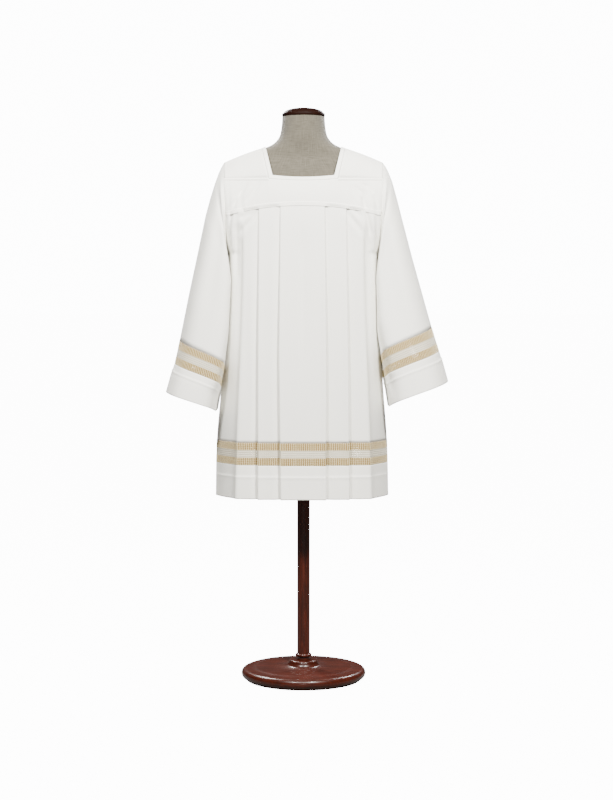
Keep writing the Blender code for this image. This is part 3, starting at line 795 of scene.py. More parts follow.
class StitchMaker:
    """Sews lines of small running stitches on a surface."""

    LENGTH = 0.0026
    PITCH = 0.0036
    RADIUS = 0.00032
    BREADTH = 1.25
    _template: Mesh | None = None

    @classmethod
    def template(cls) -> Mesh:
        """Shape one flattened stitch along X from a sphere.

        Returns:
            The stitch that every line copies, made on its first use.
        """
        if cls._template is None:
            deselect()
            bpy.ops.mesh.primitive_uv_sphere_add(segments=6, ring_count=4, radius=1.0,
                                                 rotation=(0.0, math.pi / 2.0, 0.0))
            cls._template = take_mesh((cls.LENGTH / 2.0, cls.RADIUS * cls.BREADTH, cls.RADIUS))
        return cls._template

    @classmethod
    def sew(cls, name: str, lines: Sequence[Sequence[tuple[Vector, Vector]]], lift: float,
            finish: Finish = WHITE_THREAD) -> Item:
        """Sew stitches along lines that lie on cloth.

        Args:
            name: The piece's name.
            lines: Each line's points, with the cloth's outward direction at each.
            lift: How far the stitches' middles stand off the cloth's middle surface.
            finish: The thread's finish.

        Returns:
            The joined stitches.
        """
        places = []
        for line in lines:
            travelled, due = 0.0, cls.PITCH / 2.0
            for (start, start_out), (end, end_out) in zip(line, line[1:]):
                run = (end - start).length
                while run > 0.0 and due <= travelled + run:
                    share = (due - travelled) / run
                    out = blend(start_out, end_out, share).normalized()
                    along = (end - start).normalized()
                    side = out.cross(along).normalized()
                    out = along.cross(side).normalized()
                    turn = Matrix((along, side, out)).transposed().to_4x4()
                    places.append(Matrix.Translation(blend(start, end, share) + out * lift) @ turn)
                    due += cls.PITCH
                travelled += run
        return join_copies(name, cls.template(), places, finish)


def line_on(rows: Rows, share: float, outward: Outward, closed: bool = False) -> list[tuple[Vector, Vector]]:
    """Return a line across a sheet, a share of the way down its rows.

    Args:
        rows: The sheet's rows of points.
        share: How far down the sheet the line runs, from 0 to 1.
        outward: Gives a rough outward direction at a point.
        closed: Whether the rows close on themselves.

    Returns:
        The line's points, each with the sheet's outward direction.
    """
    place = share * (len(rows) - 1)
    upper = min(int(place), len(rows) - 2)
    first, second = rows[upper], rows[upper + 1]
    points = [blend(one, other, place - upper) for one, other in zip(first, second)]
    if closed:
        points.append(points[0])
    line = []
    for index, point in enumerate(points):
        before = points[max(index - 1, 0)]
        after = points[min(index + 1, len(points) - 1)]
        down = second[index % len(second)] - first[index % len(first)]
        normal = (after - before).cross(down).normalized()
        if normal.dot(outward(point)) < 0.0:
            normal = -normal
        line.append((point, normal))
    return line


def row_length(row: Row, closed: bool) -> float:
    """Return the length of a row of points."""
    last = len(row) if closed else len(row) - 1
    return sum((row[(place + 1) % len(row)] - row[place]).length for place in range(last))


def dress(item: Item, slot: str, *nodes: str) -> None:
    """Make a piece ride on the one body and stand for its solids.

    Args:
        item: The piece.
        slot: Not used.
        nodes: The solids that it stands for.
    """
    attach(item, "root")
    if nodes:
        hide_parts(*nodes)
    LOG.info("made %s with %d faces", item.name, len(item.data.polygons))


@dataclass
class DressForm:
    """The limbless form: a linen torso on a wooden plate, pole and round base."""

    base_radius: float = 0.170
    base_height: float = 0.034
    base_steps: tuple[tuple[float, float], ...] = (
        (0.012, 0.0034), (0.022, 0.0026), (0.026, 0.0010), (0.030, 0.0006), (0.070, 0.0))
    lip_radius: float = 0.013
    boss_radius: float = 0.048
    boss_height: float = 0.052
    pole_radius: float = 0.018
    pole_top: float = 0.7197
    plate_half_width: float = 0.105
    plate_half_depth: float = 0.078
    plate_thickness: float = 0.018
    cap_bottom: float = 1.5390
    cap_radius: float = 0.0590
    cap_edge: float = 0.010
    cap_top: float = 1.5640
    turned_sides: int = 128
    torso_sides: int = 96
    torso_levels: tuple[Level, ...] = table(Level, (
        (0.7383, 0.118, 0.086), (0.748, 0.134, 0.096), (0.82, 0.152, 0.104),
        (0.94, 0.142, 0.099), (1.06, 0.141, 0.1), (1.18, 0.152, 0.104),
        (1.27, 0.168, 0.104), (1.33, 0.186, 0.094), (1.37, 0.198, 0.084),
        (1.393, 0.201, 0.075), (1.41, 0.1995, 0.066), (1.4215, 0.1925, 0.06),
        (1.43, 0.172, 0.058), (1.4408, 0.143, 0.0575), (1.451, 0.113, 0.0575),
        (1.4605, 0.09, 0.0585), (1.4705, 0.0765, 0.0595), (1.485, 0.066, 0.06),
        (1.51, 0.0605, 0.059), (1.5387, 0.058, 0.0575),
    ))

    @staticmethod
    def round_level(z: float, radius: float) -> Level:
        """Return a round level."""
        return Level(z, radius, radius)

    @staticmethod
    def arc(radius: float, height: float, bend: float, start: float, end: float, steps: int) -> list[Level]:
        """Lay round levels along an arc.

        Args:
            radius: How far out the arc's centre lies.
            height: The height of the arc's centre.
            bend: The arc's own radius.
            start: The arc's first angle, in degrees from level.
            end: Its last angle.
            steps: How many steps it has.

        Returns:
            The levels.
        """
        angles = [math.radians(blend(start, end, step / steps)) for step in range(steps + 1)]
        return [DressForm.round_level(height + bend * math.sin(angle), radius + bend * math.cos(angle))
                for angle in angles]

    def base(self) -> None:
        """Turn the base with its bull-nosed edge, step and boss."""
        lip_centre = self.base_radius - self.lip_radius
        lip_z = self.base_height - 0.004 - self.lip_radius
        levels = [self.round_level(0.0, self.base_radius - 0.013),
                  self.round_level(0.004, self.base_radius - 0.010)]
        levels += self.arc(lip_centre, lip_z, self.lip_radius, -50.0, 90.0, 18)
        top = self.base_height
        levels += [self.round_level(top - fall, lip_centre - inset) for inset, fall in self.base_steps]
        levels.append(self.round_level(top + 0.002, self.boss_radius))
        levels.append(self.round_level(top + 0.005, self.boss_radius - 0.004))
        levels += self.arc(self.boss_radius - 0.014, self.boss_height - 0.006, 0.006, 0.0, 90.0, 6)
        levels.append(self.round_level(self.boss_height, self.pole_radius * 0.4))
        item = make_raised("base", levels, self.turned_sides, BASE_WOOD)
        dress(item, "wood", "form_base")

    def pole(self) -> None:
        """Turn the pole, with a bead at its foot and at its top."""
        foot = self.boss_height + SEAM_GAP
        radius = self.pole_radius
        levels = [self.round_level(foot, radius)]
        for centre in (foot + 0.012, self.pole_top - 0.020):
            levels += self.arc(radius - 0.0005, centre, 0.0045, -90.0, 90.0, 8)
        levels.append(self.round_level(self.pole_top, radius))
        item = make_raised("pole", levels, 64, POLE_WOOD)
        dress(item, "wood", "form_pole")

    def plate(self) -> None:
        """Raise the oval plate under the torso, with eased edges."""
        top = self.torso_levels[0].z - SEAM_GAP
        foot = top - self.plate_thickness
        wide, deep = self.plate_half_width, self.plate_half_depth
        easing = ((0.0, 0.003), (0.0012, 0.0008), (0.004, 0.0))
        levels = [Level(foot + rise, wide - inset, deep - inset) for rise, inset in easing]
        levels += [Level(top - rise, wide - inset, deep - inset) for rise, inset in reversed(easing)]
        item = make_raised("plate", levels, 96, BASE_WOOD)
        dress(item, "wood", "form_plate")

    def torso(self) -> None:
        """Raise the smooth torso and neck through the form's levels."""
        low, high = self.torso_levels[0].z, self.torso_levels[-1].z
        heights = {level.z for level in self.torso_levels}
        count = steps_for(high - low, 0.006)
        heights |= {blend(low, high, step / count) for step in range(count + 1)}
        ordered = sorted(heights)
        kept = [ordered[0]]
        for height in ordered[1:]:
            if height - kept[-1] > 0.0015:
                kept.append(height)
        levels = [Level(height, row_at(self.torso_levels, height, "half_width"),
                        row_at(self.torso_levels, height, "half_depth")) for height in kept]
        item = make_raised("torso", levels, self.torso_sides, LINEN)
        dress(item, "linen", "form_torso")

    def cap(self) -> None:
        """Turn the low domed cap, with a groove round its edge."""
        edge_top = self.cap_bottom + self.cap_edge
        profile = ((0.003, self.cap_bottom), (0.0008, self.cap_bottom + 0.0012),
                   (0.0, self.cap_bottom + 0.0035), (0.0, edge_top - 0.002), (0.0007, edge_top - 0.0008),
                   (0.0020, edge_top), (0.0038, edge_top + 0.0006))
        levels = [self.round_level(z, self.cap_radius - inset) for inset, z in profile]
        dome = self.cap_radius - 0.004
        for degrees in range(10, 90, 8):
            angle = math.radians(degrees)
            height = edge_top + (self.cap_top - edge_top) * math.sin(angle)
            levels.append(self.round_level(height, dome * math.cos(angle)))
        levels.append(self.round_level(self.cap_top, 0.0015))
        item = make_raised("neck_cap", levels, self.turned_sides, CAP_WOOD)
        dress(item, "wood", "form_neck_cap")

    def build(self) -> None:
        """Build the whole form."""
        self.base()
        self.pole()
        self.plate()
        self.torso()
        self.cap()


BODY_LEVELS = {
    Face.FRONT: table(BodyLevel, (
        (1.364, 0.104, 0.174, 0.086, 0.212, 0.212), (1.295, 0.12, 0.174, 0.105, 0.208, 0.208),
        (1.165, 0.126, 0.172, 0.109, 0.2045, 0.2045), (1.0, 0.131, 0.175, 0.113, 0.208, 0.207),
        (0.8, 0.138, 0.183, 0.116, 0.2245, 0.218), (0.6545, 0.143, 0.189, 0.117, 0.237, 0.2285),
        (0.504, 0.148, 0.193, 0.116, 0.24, 0.232),
    )),
    Face.BACK: table(BodyLevel, (
        (1.364, 0.1, 0.172, 0.085, 0.212, 0.212), (1.295, 0.118, 0.172, 0.102, 0.208, 0.208),
        (1.165, 0.123, 0.17, 0.106, 0.2045, 0.2045), (1.0, 0.126, 0.172, 0.11, 0.208, 0.207),
        (0.8, 0.133, 0.18, 0.114, 0.2245, 0.218), (0.6545, 0.138, 0.186, 0.115, 0.237, 0.2285),
        (0.504, 0.143, 0.19, 0.115, 0.24, 0.232),
    )),
}

PLEATS = {
    Face.FRONT: table(Pleat, (
        (-0.119, -0.121, -0.1214, -1), (-0.061, -0.065, -0.06, -1),
        (0.0566, 0.0608, 0.06, 1), (0.114, 0.1195, 0.1227, 1),
    )),
    Face.BACK: table(Pleat, (
        (-0.119, -0.1215, -0.123, -1), (-0.059, -0.061, -0.062, -1),
        (0.059, 0.062, 0.06, 1), (0.118, 0.1205, 0.1225, 1),
    )),
}

FACE_CREASES = {
    Face.FRONT: table(Crease, (
        (-0.15, 1.35, -0.178, 1.312, 0.0051, 0.0055), (-0.178, 1.312, -0.19, 1.282, 0.0057, 0.005),
        (-0.19, 1.282, -0.199, 1.235, 0.0057, 0.0045), (-0.2005, 1.235, -0.2005, 1.09, 0.0034, 0.005),
        (-0.18, 1.264, -0.179, 1.09, 0.0045, 0.0055), (-0.19, 1.26, -0.1905, 1.1, -0.0028, 0.005),
        (-0.114, 1.354, -0.156, 1.296, 0.0033, 0.0055), (-0.124, 1.274, -0.168, 1.213, 0.0042, 0.006),
        (-0.126, 1.274, -0.172, 1.256, 0.0024, 0.0055), (0.14, 1.343, 0.158, 1.317, 0.0048, 0.005),
        (0.158, 1.317, 0.165, 1.283, 0.006, 0.0048), (0.166, 1.283, 0.18, 1.21, 0.0063, 0.0055),
        (0.189, 1.275, 0.189, 1.1, -0.0028, 0.0045), (0.154, 1.348, 0.18, 1.34, 0.0027, 0.0045),
        (0.18, 1.34, 0.1905, 1.322, 0.0033, 0.0045), (0.1905, 1.322, 0.197, 1.29, 0.0039, 0.0045),
        (0.197, 1.29, 0.198, 1.09, 0.0034, 0.005), (0.125, 1.347, 0.148, 1.308, 0.0024, 0.0055),
        (0.116, 1.276, 0.156, 1.216, 0.0042, 0.006), (0.124, 1.284, 0.16, 1.256, 0.0023, 0.0055),
        (-0.0035, 1.235, -0.0045, 0.8, 0.0013, 0.005), (-0.09, 1.26, -0.098, 1.02, 0.0006, 0.011),
        (0.09, 1.25, 0.092, 0.98, 0.0006, 0.011), (-0.156, 1.15, -0.15, 0.7, 0.0016, 0.012),
        (0.154, 1.12, 0.152, 0.68, 0.0014, 0.012),
    )),
    Face.BACK: table(Crease, (
        (-0.144, 1.354, -0.17, 1.306, 0.0024, 0.006), (-0.122, 1.276, -0.162, 1.22, 0.002, 0.0065),
        (0.138, 1.352, 0.168, 1.304, 0.0026, 0.006), (0.12, 1.274, 0.16, 1.212, 0.002, 0.0065),
        (-0.088, 1.25, -0.094, 0.98, 0.0006, 0.011), (0.09, 1.26, 0.096, 1.04, 0.0006, 0.011),
        (-0.15, 1.14, -0.154, 0.72, 0.0016, 0.012), (0.154, 1.16, 0.15, 0.66, 0.0016, 0.012),
    )),
}


@dataclass
class Armhole:
    """The upright oval where a sleeve joins the body."""

    top_x: float = 0.2175
    top_z: float = 1.4130
    bottom_x: float = 0.2045
    bottom_z: float = 1.1650
    half_depth: float = 0.0880
    seam_z: dict[Face, float] = field(default_factory=lambda: {Face.FRONT: 1.3640, Face.BACK: 1.3720})

    def point(self, face: Face, height: float) -> Vector:
        """Place a point of the right armhole.

        Args:
            face: The front or the back half.
            height: The point's height.

        Returns:
            The point.
        """
        middle, half = (self.top_z + self.bottom_z) / 2.0, (self.top_z - self.bottom_z) / 2.0
        rise = min(max((height - middle) / half, -1.0), 1.0)
        depth = max(self.half_depth * math.sqrt(1.0 - rise * rise), SIDE_SEAM_GAP / 2.0)
        across = blend(self.bottom_x, self.top_x, (rise + 1.0) / 2.0)
        return Vector((across, face.value * depth, height))


@dataclass
class Neck:
    """The square neck opening: its edge, and the outer edge of the strip that finishes it."""

    edge: dict[Face, NeckEdge] = field(default_factory=lambda: {
        Face.FRONT: NeckEdge(0.1040, 1.4570, 0.0830, 0.1000, 1.3720, 0.0050),
        Face.BACK: NeckEdge(0.1040, 1.4570, 0.0850, 0.0880, 1.3970, 0.0020),
    })
    strip_edge: dict[Face, NeckEdge] = field(default_factory=lambda: {
        Face.FRONT: NeckEdge(0.1140, 1.4528, 0.0930, 0.1022, 1.3622, 0.0048),
        Face.BACK: NeckEdge(0.1140, 1.4528, 0.0950, 0.0905, 1.3875, 0.0020),
    })
    full_turn: float = math.pi / 2.0 * 0.86
    side_steps: int = 22
    front_steps: int = 28
    front_bow: float = 0.003
    row_shares: tuple[float, ...] = (0.0, 0.06, 0.2, 0.4, 0.6, 0.8, 0.965)
    stitch_shares: tuple[float, float] = (0.22, 0.86)

    def side_point(self, edge: NeckEdge, face: Face, share: float) -> Vector:
        """Place a point of the right side.

        Args:
            edge: The edge's sizes.
            face: The front or the back.
            share: How far it lies from the shoulder ridge (0) to the corner (1).

        Returns:
            The point.
        """
        angle = share * self.full_turn
        fall = (1.0 - math.cos(angle)) / (1.0 - math.cos(self.full_turn))
        depth = edge.corner_y * math.sin(angle) / math.sin(self.full_turn)
        return Vector((blend(edge.ridge_x, edge.corner_x, fall), face.value * depth,
                       blend(edge.ridge_z, edge.corner_z, fall)))

    def front_point(self, edge: NeckEdge, face: Face, share: float) -> Vector:
        """Place a point of the edge across a face.

        Args:
            edge: The edge's sizes.
            face: The front or the back.
            share: How far it lies from the right corner (0) to the left one (1).

        Returns:
            The point.
        """
        across = 1.0 - 2.0 * share
        sag = 1.0 - across * across
        return Vector((edge.corner_x * across, face.value * (edge.corner_y + self.front_bow * sag),
                       edge.corner_z - edge.centre_drop * sag))

    def loop(self, edges: dict[Face, NeckEdge]) -> Row:
        """Lay the closed loop of an edge.

        Args:
            edges: The edge's sizes on the front and the back.

        Returns:
            Its points, from the right shoulder ridge on.
        """
        sides = [step / self.side_steps for step in range(self.side_steps)]
        fronts = [step / self.front_steps for step in range(self.front_steps)]
        front, back = edges[Face.FRONT], edges[Face.BACK]
        points = [self.side_point(front, Face.FRONT, share) for share in sides]
        points += [self.front_point(front, Face.FRONT, share) for share in fronts]
        points += [mirrored(self.side_point(front, Face.FRONT, 1.0 - share)) for share in sides]
        points += [mirrored(self.side_point(back, Face.BACK, share)) for share in sides]
        points += [mirrored(self.front_point(back, Face.BACK, share)) for share in fronts]
        points += [self.side_point(back, Face.BACK, 1.0 - share) for share in sides]
        return points

    def build(self) -> None:
        """Build the doubled strip, with its soft edge and two lines of topstitching."""
        inner, outer = self.loop(self.edge), self.loop(self.strip_edge)
        rows = [[blend(start, end, share) for start, end in zip(inner, outer)] for share in self.row_shares]
        item = make_cloth("neck_edging", rows, DOUBLED_WALL, DOUBLED_CLOTH, closed=True)
        dress(item, "white_cloth", "neck_strip")

        def outward(point: Vector) -> Vector:
            """Return the strip's rough outward direction at a point."""
            return Vector((point.x * 0.2, point.y, 0.08))

        lines = [line_on(rows, share, outward, closed=True) for share in self.stitch_shares]
        stitches = StitchMaker.sew("neck_topstitching", lines, DOUBLED_STITCH_LIFT)
        dress(stitches, "white_cloth")


class HeightSlice:
    """The body's sizes at one height, read from its tables once."""

    def __init__(self, body: "Body", height: float) -> None:
        """Read every size that a level section needs.

        Args:
            body: The front or the back of the garment.
            height: The section's height.
        """
        levels = BODY_LEVELS[body.face]
        self.height = height
        self.crease_x = row_at(levels, height, "crease_x")
        self.crease_y = row_at(levels, height, "crease_y")
        self.face_y = row_at(levels, height, "face_y")
        self.side_x = {side: row_at(levels, height, side.label + "_x") for side in Side}
        self.pitch = body.pleat_pitch(height)
        self.hollow = body.hollow_depth
        self.hollow *= smooth_share(body.hollow_top_z - height, 0.0, 0.10)
        self.hollow *= smooth_share(height - body.hollow_foot_z, 0.0, 0.30)
        self.flute = body.flute_depth * smooth_share(body.armhole.bottom_z - height, 0.0,
                                                     body.armhole.bottom_z - body.hem_z)
        fall = smooth_share(body.yoke_line_z - height, 0.0, body.lift_grows)
        self.tuck = body.tuck_depth * (1.0 - smooth_share(height, *body.tuck_fade_z))
        self.lift = blend(body.lift_top, body.lift_foot, fall)
        self.dip = blend(body.dip_top, body.dip_foot, fall)
        self.edges = [(body.pleat_edge(pleat, height), pleat.outward, body.base_layer(place))
                      for place, pleat in enumerate(PLEATS[body.face])]


@dataclass
class Body:
    """The pleated front or back, with its openwork band and hem piece."""

    face: Face
    armhole: Armhole
    yoke_line_z: float = 1.2950
    yoke_side_drop: float = 0.0240
    yoke_drop_ends_z: float = 1.2000
    band_top_z: float = 0.6545
    band_foot_z: float = 0.5940
    hem_fold_z: float = 0.5630
    hem_z: float = 0.5040
    ridge_height: float = 0.0014
    ridge_width: float = 0.0030
    fold_step: float = 0.0008
    rounding: float = 2.4
    crease_rounding: float = 0.012
    pleat_middle_z: float = 0.8800
    underlay: float = 0.032
    pitch_top: float = 0.0017
    pitch_hem: float = 0.0042
    hollow_depth: float = 0.0035
    hollow_width: float = 0.0130
    hollow_top_z: float = 1.2500
    hollow_foot_z: float = 0.7600
    flute_depth: float = 0.0070
    tuck_depth: float = 0.0130
    lift_top: float = 0.0005
    lift_foot: float = 0.0040
    lift_width: float = 0.010
    dip_top: float = 0.0024
    dip_foot: float = 0.0062
    dip_width: float = 0.009
    lift_grows: float = 0.42
    side_steps: int = 18
    turn_points: int = 7
    spacing: float = 0.005
    row_spacing: float = 0.008
    upper_density: float = 0.7
    armhole_step: float = 0.0008
    above_spacing: float = 0.0025
    below_spacing: float = 0.0035
    fold_gap: float = 0.0006
    nominal_edge_x: float = 0.162
    drop_reach_x: float = 0.200
    drop_power: float = 2.2
    drop_parts: int = 4
    bow_top: float = 0.55
    bow_middle: float = 0.80
    bow_foot: float = 0.38
    bow_top_z: tuple[float, float] = (1.20, 1.30)
    bow_foot_z: tuple[float, float] = (0.74, 0.98)
    tuck_fade_z: tuple[float, float] = (1.17, 1.265)
    fold_fade: tuple[float, float] = (0.003, 0.035)
    dip_offset: float = 0.003
    side_ripple: float = 0.0016
    crease_beyond: float = 0.15
    rim_height: float = 0.35
    rim_place: float = 1.9
    drift_depth: float = 0.0011
    drift_top_z: float = 1.29

    def pleat_pitch(self, height: float) -> float:
        """Return the distance from one layer of a pleat to the next."""
        share = smooth_share(self.yoke_line_z - height, 0.0, self.yoke_line_z - self.hem_z)
        return blend(self.pitch_top, self.pitch_hem, share)

    def pleat_edge(self, pleat: Pleat, height: float) -> float:
        """Work out how far across a pleat's folded edge lies.

        Args:
            pleat: The pleat.
            height: The height to read.

        Returns:
            The place along X.
        """
        if height >= self.pleat_middle_z:
            share = (self.yoke_line_z - height) / (self.yoke_line_z - self.pleat_middle_z)
            return blend(pleat.top_x, pleat.middle_x, min(max(share, 0.0), 1.0))
        share = (self.pleat_middle_z - height) / (self.pleat_middle_z - self.hem_z)
        return blend(pleat.middle_x, pleat.hem_x, min(share, 1.0))

    @staticmethod
    def base_layer(place: int) -> int:
        """Return the layer that a pleat's fold stands on, by its place from the left."""
        return 0 if place in (0, 3) else 2

    def fold_relief(self, cut: HeightSlice, across: float, layer: float) -> float:
        """Work out how far a pleat's edge stands up, or the layer under it dips.

        Args:
            cut: The sizes at this height.
            across: The place along X.
            layer: The layer that the place lies on.

        Returns:
            The distance outwards, in metres.
        """
        out = 0.0
        below = self.yoke_line_z - self.yoke_line_drop(across, self.yoke_line_z) - cut.height
        fade = smooth_share(below, *self.fold_fade)
        for edge_x, outward, base in cut.edges:
            beyond = (across - edge_x) * outward
            share = min(max((layer - base) / 2.0, 0.0), 1.0)
            out += share * cut.lift * math.exp(-((beyond / self.lift_width) ** 2))
            out -= (1.0 - share) * cut.dip * math.exp(-(((beyond - self.dip_offset) / self.dip_width) ** 2))
        return out * fade

    def relief(self, across: float, height: float) -> float:
        """Return how far the face stands out or in at a place, from its creases and its fall.

        Args:
            across: The place along X.
            height: The place along Z.

        Returns:
            The distance outwards, in metres.
        """
        out = 0.0
        for crease in FACE_CREASES[self.face]:
            run_x, run_z = crease.end_x - crease.start_x, crease.end_z - crease.start_z
            length = run_x * run_x + run_z * run_z
            share = ((across - crease.start_x) * run_x + (height - crease.start_z) * run_z) / length
            if -self.crease_beyond < share < 1.0 + self.crease_beyond:
                nearest = min(max(share, 0.0), 1.0)
                off = math.hypot(across - crease.start_x - run_x * nearest,
                                 height - crease.start_z - run_z * nearest)
                ends = math.sin(math.pi * (nearest * 0.92 + 0.04)) ** 0.8
                ratio = off / crease.width
                trough = math.exp(-ratio * ratio)
                rim = self.rim_height * math.exp(-((ratio - self.rim_place) ** 2))
                out -= crease.depth * ends * (trough - rim)
        drift = noise.noise(Vector((across * 16.0 + self.face.value * 5.0, height * 3.2, 2.0)))
        return out + drift * self.drift_depth * smooth_share(self.drift_top_z - height, 0.0, 0.2)

    def face_point(self, cut: HeightSlice, across: float, layer: float, layers: int) -> Vector:
        """Place a point of the face.

        Args:
            cut: The sizes at this height.
            across: The place along X.
            layer: The layer that the point lies on.
            layers: How many layers the pleats have, or 0 for the plain yoke.

        Returns:
            The point.
        """
        middle_y = cut.face_y - layers * cut.pitch
        reach = min(abs(across) / cut.crease_x, 1.0)
        out = blend(middle_y, cut.crease_y, reach**self.rounding) + layer * cut.pitch
        if layers:
            out -= cut.hollow * math.exp(-((across / self.hollow_width) ** 2))
            out += self.fold_relief(cut, across, layer)
        out += self.relief(across, cut.height)
        return Vector((across, self.face.value * out, cut.height))

    def side_points(self, side: Side, cut: HeightSlice, layers: int) -> Row:
        """Lay points from a side seam or armhole round to the crease of the face.

        Args:
            side: The left or the right side.
            cut: The sizes at this height.
            layers: How many layers the pleats have, or 0 for the plain yoke.

        Returns:
            The points.
        """
        sign = self.face.value
        if cut.height > self.armhole.bottom_z:
            start = self.armhole.point(self.face, cut.height)
        else:
            start = Vector((cut.side_x[side], sign * SIDE_SEAM_GAP / 2.0, cut.height))
        end_x = cut.crease_x - self.crease_rounding
        end = self.face_point(cut, side.value * end_x, 0.0, layers)
        end.x = end_x
        forward = blend(self.bow_middle, self.bow_top, smooth_share(cut.height, *self.bow_top_z))
        forward = blend(self.bow_foot, forward, smooth_share(cut.height, *self.bow_foot_z))
        first = Vector((start.x, blend(start.y, sign * cut.crease_y, forward), cut.height))
        second = Vector((cut.crease_x + 0.004, sign * (cut.crease_y + 0.001), cut.height))
        points = []
        for step in range(self.side_steps):
            share = step / self.side_steps
            rest = 1.0 - share
            point = (start * rest**3 + first * 3.0 * rest**2 * share
                     + second * 3.0 * rest * share**2 + end * share**3)
            ripple = noise.noise(Vector((side.value * 3.0 + sign, share * 2.6, cut.height * 4.0)))
            swell = math.sin(math.pi * share) ** 2
            point.x -= swell * (cut.flute + self.side_ripple * ripple)
            point.y -= sign * cut.tuck * math.sin(math.pi * share**3)
            point.y += sign * self.relief(side.value * point.x, cut.height) * smooth_share(share, 0.04, 0.3)
            points.append(Vector((side.value * point.x, point.y, cut.height)))
        return points

    def turn(self, cut: HeightSlice, edge_x: float, layer: float, facing: int, layers: int,
             rising: bool) -> Row:
        """Turn a fold from one layer to the next.

        Args:
            cut: The sizes at this height.
            edge_x: Where the folded edge lies.
            layer: The lower layer.
            facing: The way the edge faces along X.
            layers: How many layers the pleats have.
            rising: Whether the turn goes from the lower layer to the upper one.

        Returns:
            The turn's points.
        """
        points = []
        for step in range(self.turn_points):
            angle = math.pi * step / (self.turn_points - 1)
            climb = (1.0 - math.cos(angle)) / 2.0
            climb = climb if rising else 1.0 - climb
            across = edge_x + facing * cut.pitch / 2.0 * (math.sin(angle) - 1.0)
            points.append(self.face_point(cut, across, layer + climb, layers))
        return points

    def section(self, height: float) -> Row:
        """Cut a level section through the pleats.

        Args:
            height: The section's height.

        Returns:
            Its points, from the left side to the right side.
        """
        cut = HeightSlice(self, height)
        pleats = PLEATS[self.face]
        layers = len(pleats)
        crease_x = cut.crease_x - self.crease_rounding
        points = self.side_points(Side.LEFT, cut, layers)
        points.append(self.face_point(cut, -crease_x, 0.0, layers))
        last_x, layer = -crease_x, 0
        nominal_last = -self.nominal_edge_x
        for pleat in pleats:
            edge_x = self.pleat_edge(pleat, height)
            inner_x = edge_x - pleat.outward * self.underlay
            rising = pleat.outward < 0
            turns = [(inner_x, -pleat.outward, pleat.middle_x - pleat.outward * self.underlay),
                     (edge_x, pleat.outward, pleat.middle_x)]
            if not rising:
                turns.reverse()
            for turn_x, facing, nominal in turns:
                count = steps_for(abs(nominal - nominal_last), self.spacing)
                points += [self.face_point(cut, blend(last_x, turn_x, step / count), layer, layers)
                           for step in range(1, count)]
                start_layer = layer if rising else layer - 1
                points += self.turn(cut, turn_x, start_layer, facing, layers, rising)
                layer += 1 if rising else -1
                last_x, nominal_last = turn_x, nominal
        count = steps_for(abs(self.nominal_edge_x - nominal_last), self.spacing)
        points += [self.face_point(cut, blend(last_x, crease_x, step / count), layer, layers)
                   for step in range(1, count)]
        points.append(self.face_point(cut, crease_x, 0.0, layers))
        points += list(reversed(self.side_points(Side.RIGHT, cut, layers)))
        return points

    def yoke_line_drop(self, across: float, height: float) -> float:
        """Return how far a height is lowered towards the sides, as the yoke line is."""
        reach = min(abs(across) / self.drop_reach_x, 1.0)
        fade = smooth_share(height, self.yoke_drop_ends_z, self.yoke_line_z)
        return self.yoke_side_drop * fade * reach**self.drop_power

    def row(self, height: float) -> Row:
        """Lay a row of the body, which near the yoke follows its lowered ends.

        Args:
            height: The row's height in the middle.

        Returns:
            Its points.
        """
        level = self.section(height)
        if height <= self.yoke_drop_ends_z:
            return level
        parts, depth = self.drop_parts, self.yoke_side_drop
        stack = [level] + [self.section(height - depth * step / parts) for step in range(1, parts + 1)]
        row = []
        for place, point in enumerate(level):
            share = self.yoke_line_drop(point.x, height) / depth * parts
            first = min(int(share), parts - 1)
            row.append(blend(stack[first][place], stack[first + 1][place], share - first))
        return row

    def outward(self, point: Vector) -> Vector:
        """Return the rough outward direction of the body at a point."""
        return Vector((point.x * 0.6, point.y, 0.0))

    def rows(self, top: float, foot: float, spacing: float) -> list[Row]:
        """Return rows from one height down to another."""
        count = steps_for(top - foot, spacing)
        return [self.row(blend(top, foot, step / count)) for step in range(count + 1)]

    def panel(self) -> None:
        """Build the pleated panel, from the yoke to the openwork band."""
        upper = self.rows(self.yoke_line_z, self.armhole.bottom_z + self.armhole_step,
                          self.row_spacing * self.upper_density)
        for point in upper[0]:
            point.z -= YOKE_SEAM_GAP
        rows = upper + self.rows(self.armhole.bottom_z - self.armhole_step, self.band_top_z + SEAM_GAP,
                                 self.row_spacing)
        item = make_cloth("pleated_" + self.face.label, rows, WALL, WHITE_CLOTH)
        dress(item, "white_cloth", "body_" + self.face.label)

    def hem(self) -> None:
        """Build the hem piece: one layer above the fold of the hem and two below it."""
        above = self.rows(self.band_foot_z, self.hem_fold_z + self.fold_gap, self.above_spacing)
        below = self.rows(self.hem_fold_z - self.fold_gap, self.hem_z, self.below_spacing)
        rows = above + below
        for row in rows:
            for point in row:
                off = (point.z - self.hem_fold_z) / self.ridge_width
                point.y += self.face.value * (self.ridge_height * math.exp(-off * off)
                                              + self.fold_step * (1.0 - smooth_share(off, -1.0, 1.0)))
        item = make_cloth("hem_piece_" + self.face.label, rows, DOUBLED_WALL, DOUBLED_CLOTH)
        dress(item, "white_cloth", "hem_" + self.face.label)
        share = (len(above) - 0.5) / (len(rows) - 1)
        stitches = StitchMaker.sew("hem_stitching_" + self.face.label,
                                   [line_on(rows, share, self.outward)], DOUBLED_STITCH_LIFT)
        dress(stitches, "white_cloth")

    def band(self) -> None:
        """Build the openwork band between the panel and the hem piece."""
        count, foot = Openwork.ROW_COUNT, self.band_foot_z + SEAM_GAP
        rows = [self.row(blend(self.band_top_z, foot, step / count)) for step in range(count + 1)]
        band = Openwork("openwork_" + self.face.label, rows, self.outward)
        band.build("band_" + self.face.label, ["pleated_" + self.face.label])

    def build(self) -> None:
        """Build the panel, its band and its hem."""
        self.panel()
        self.band()
        self.hem()


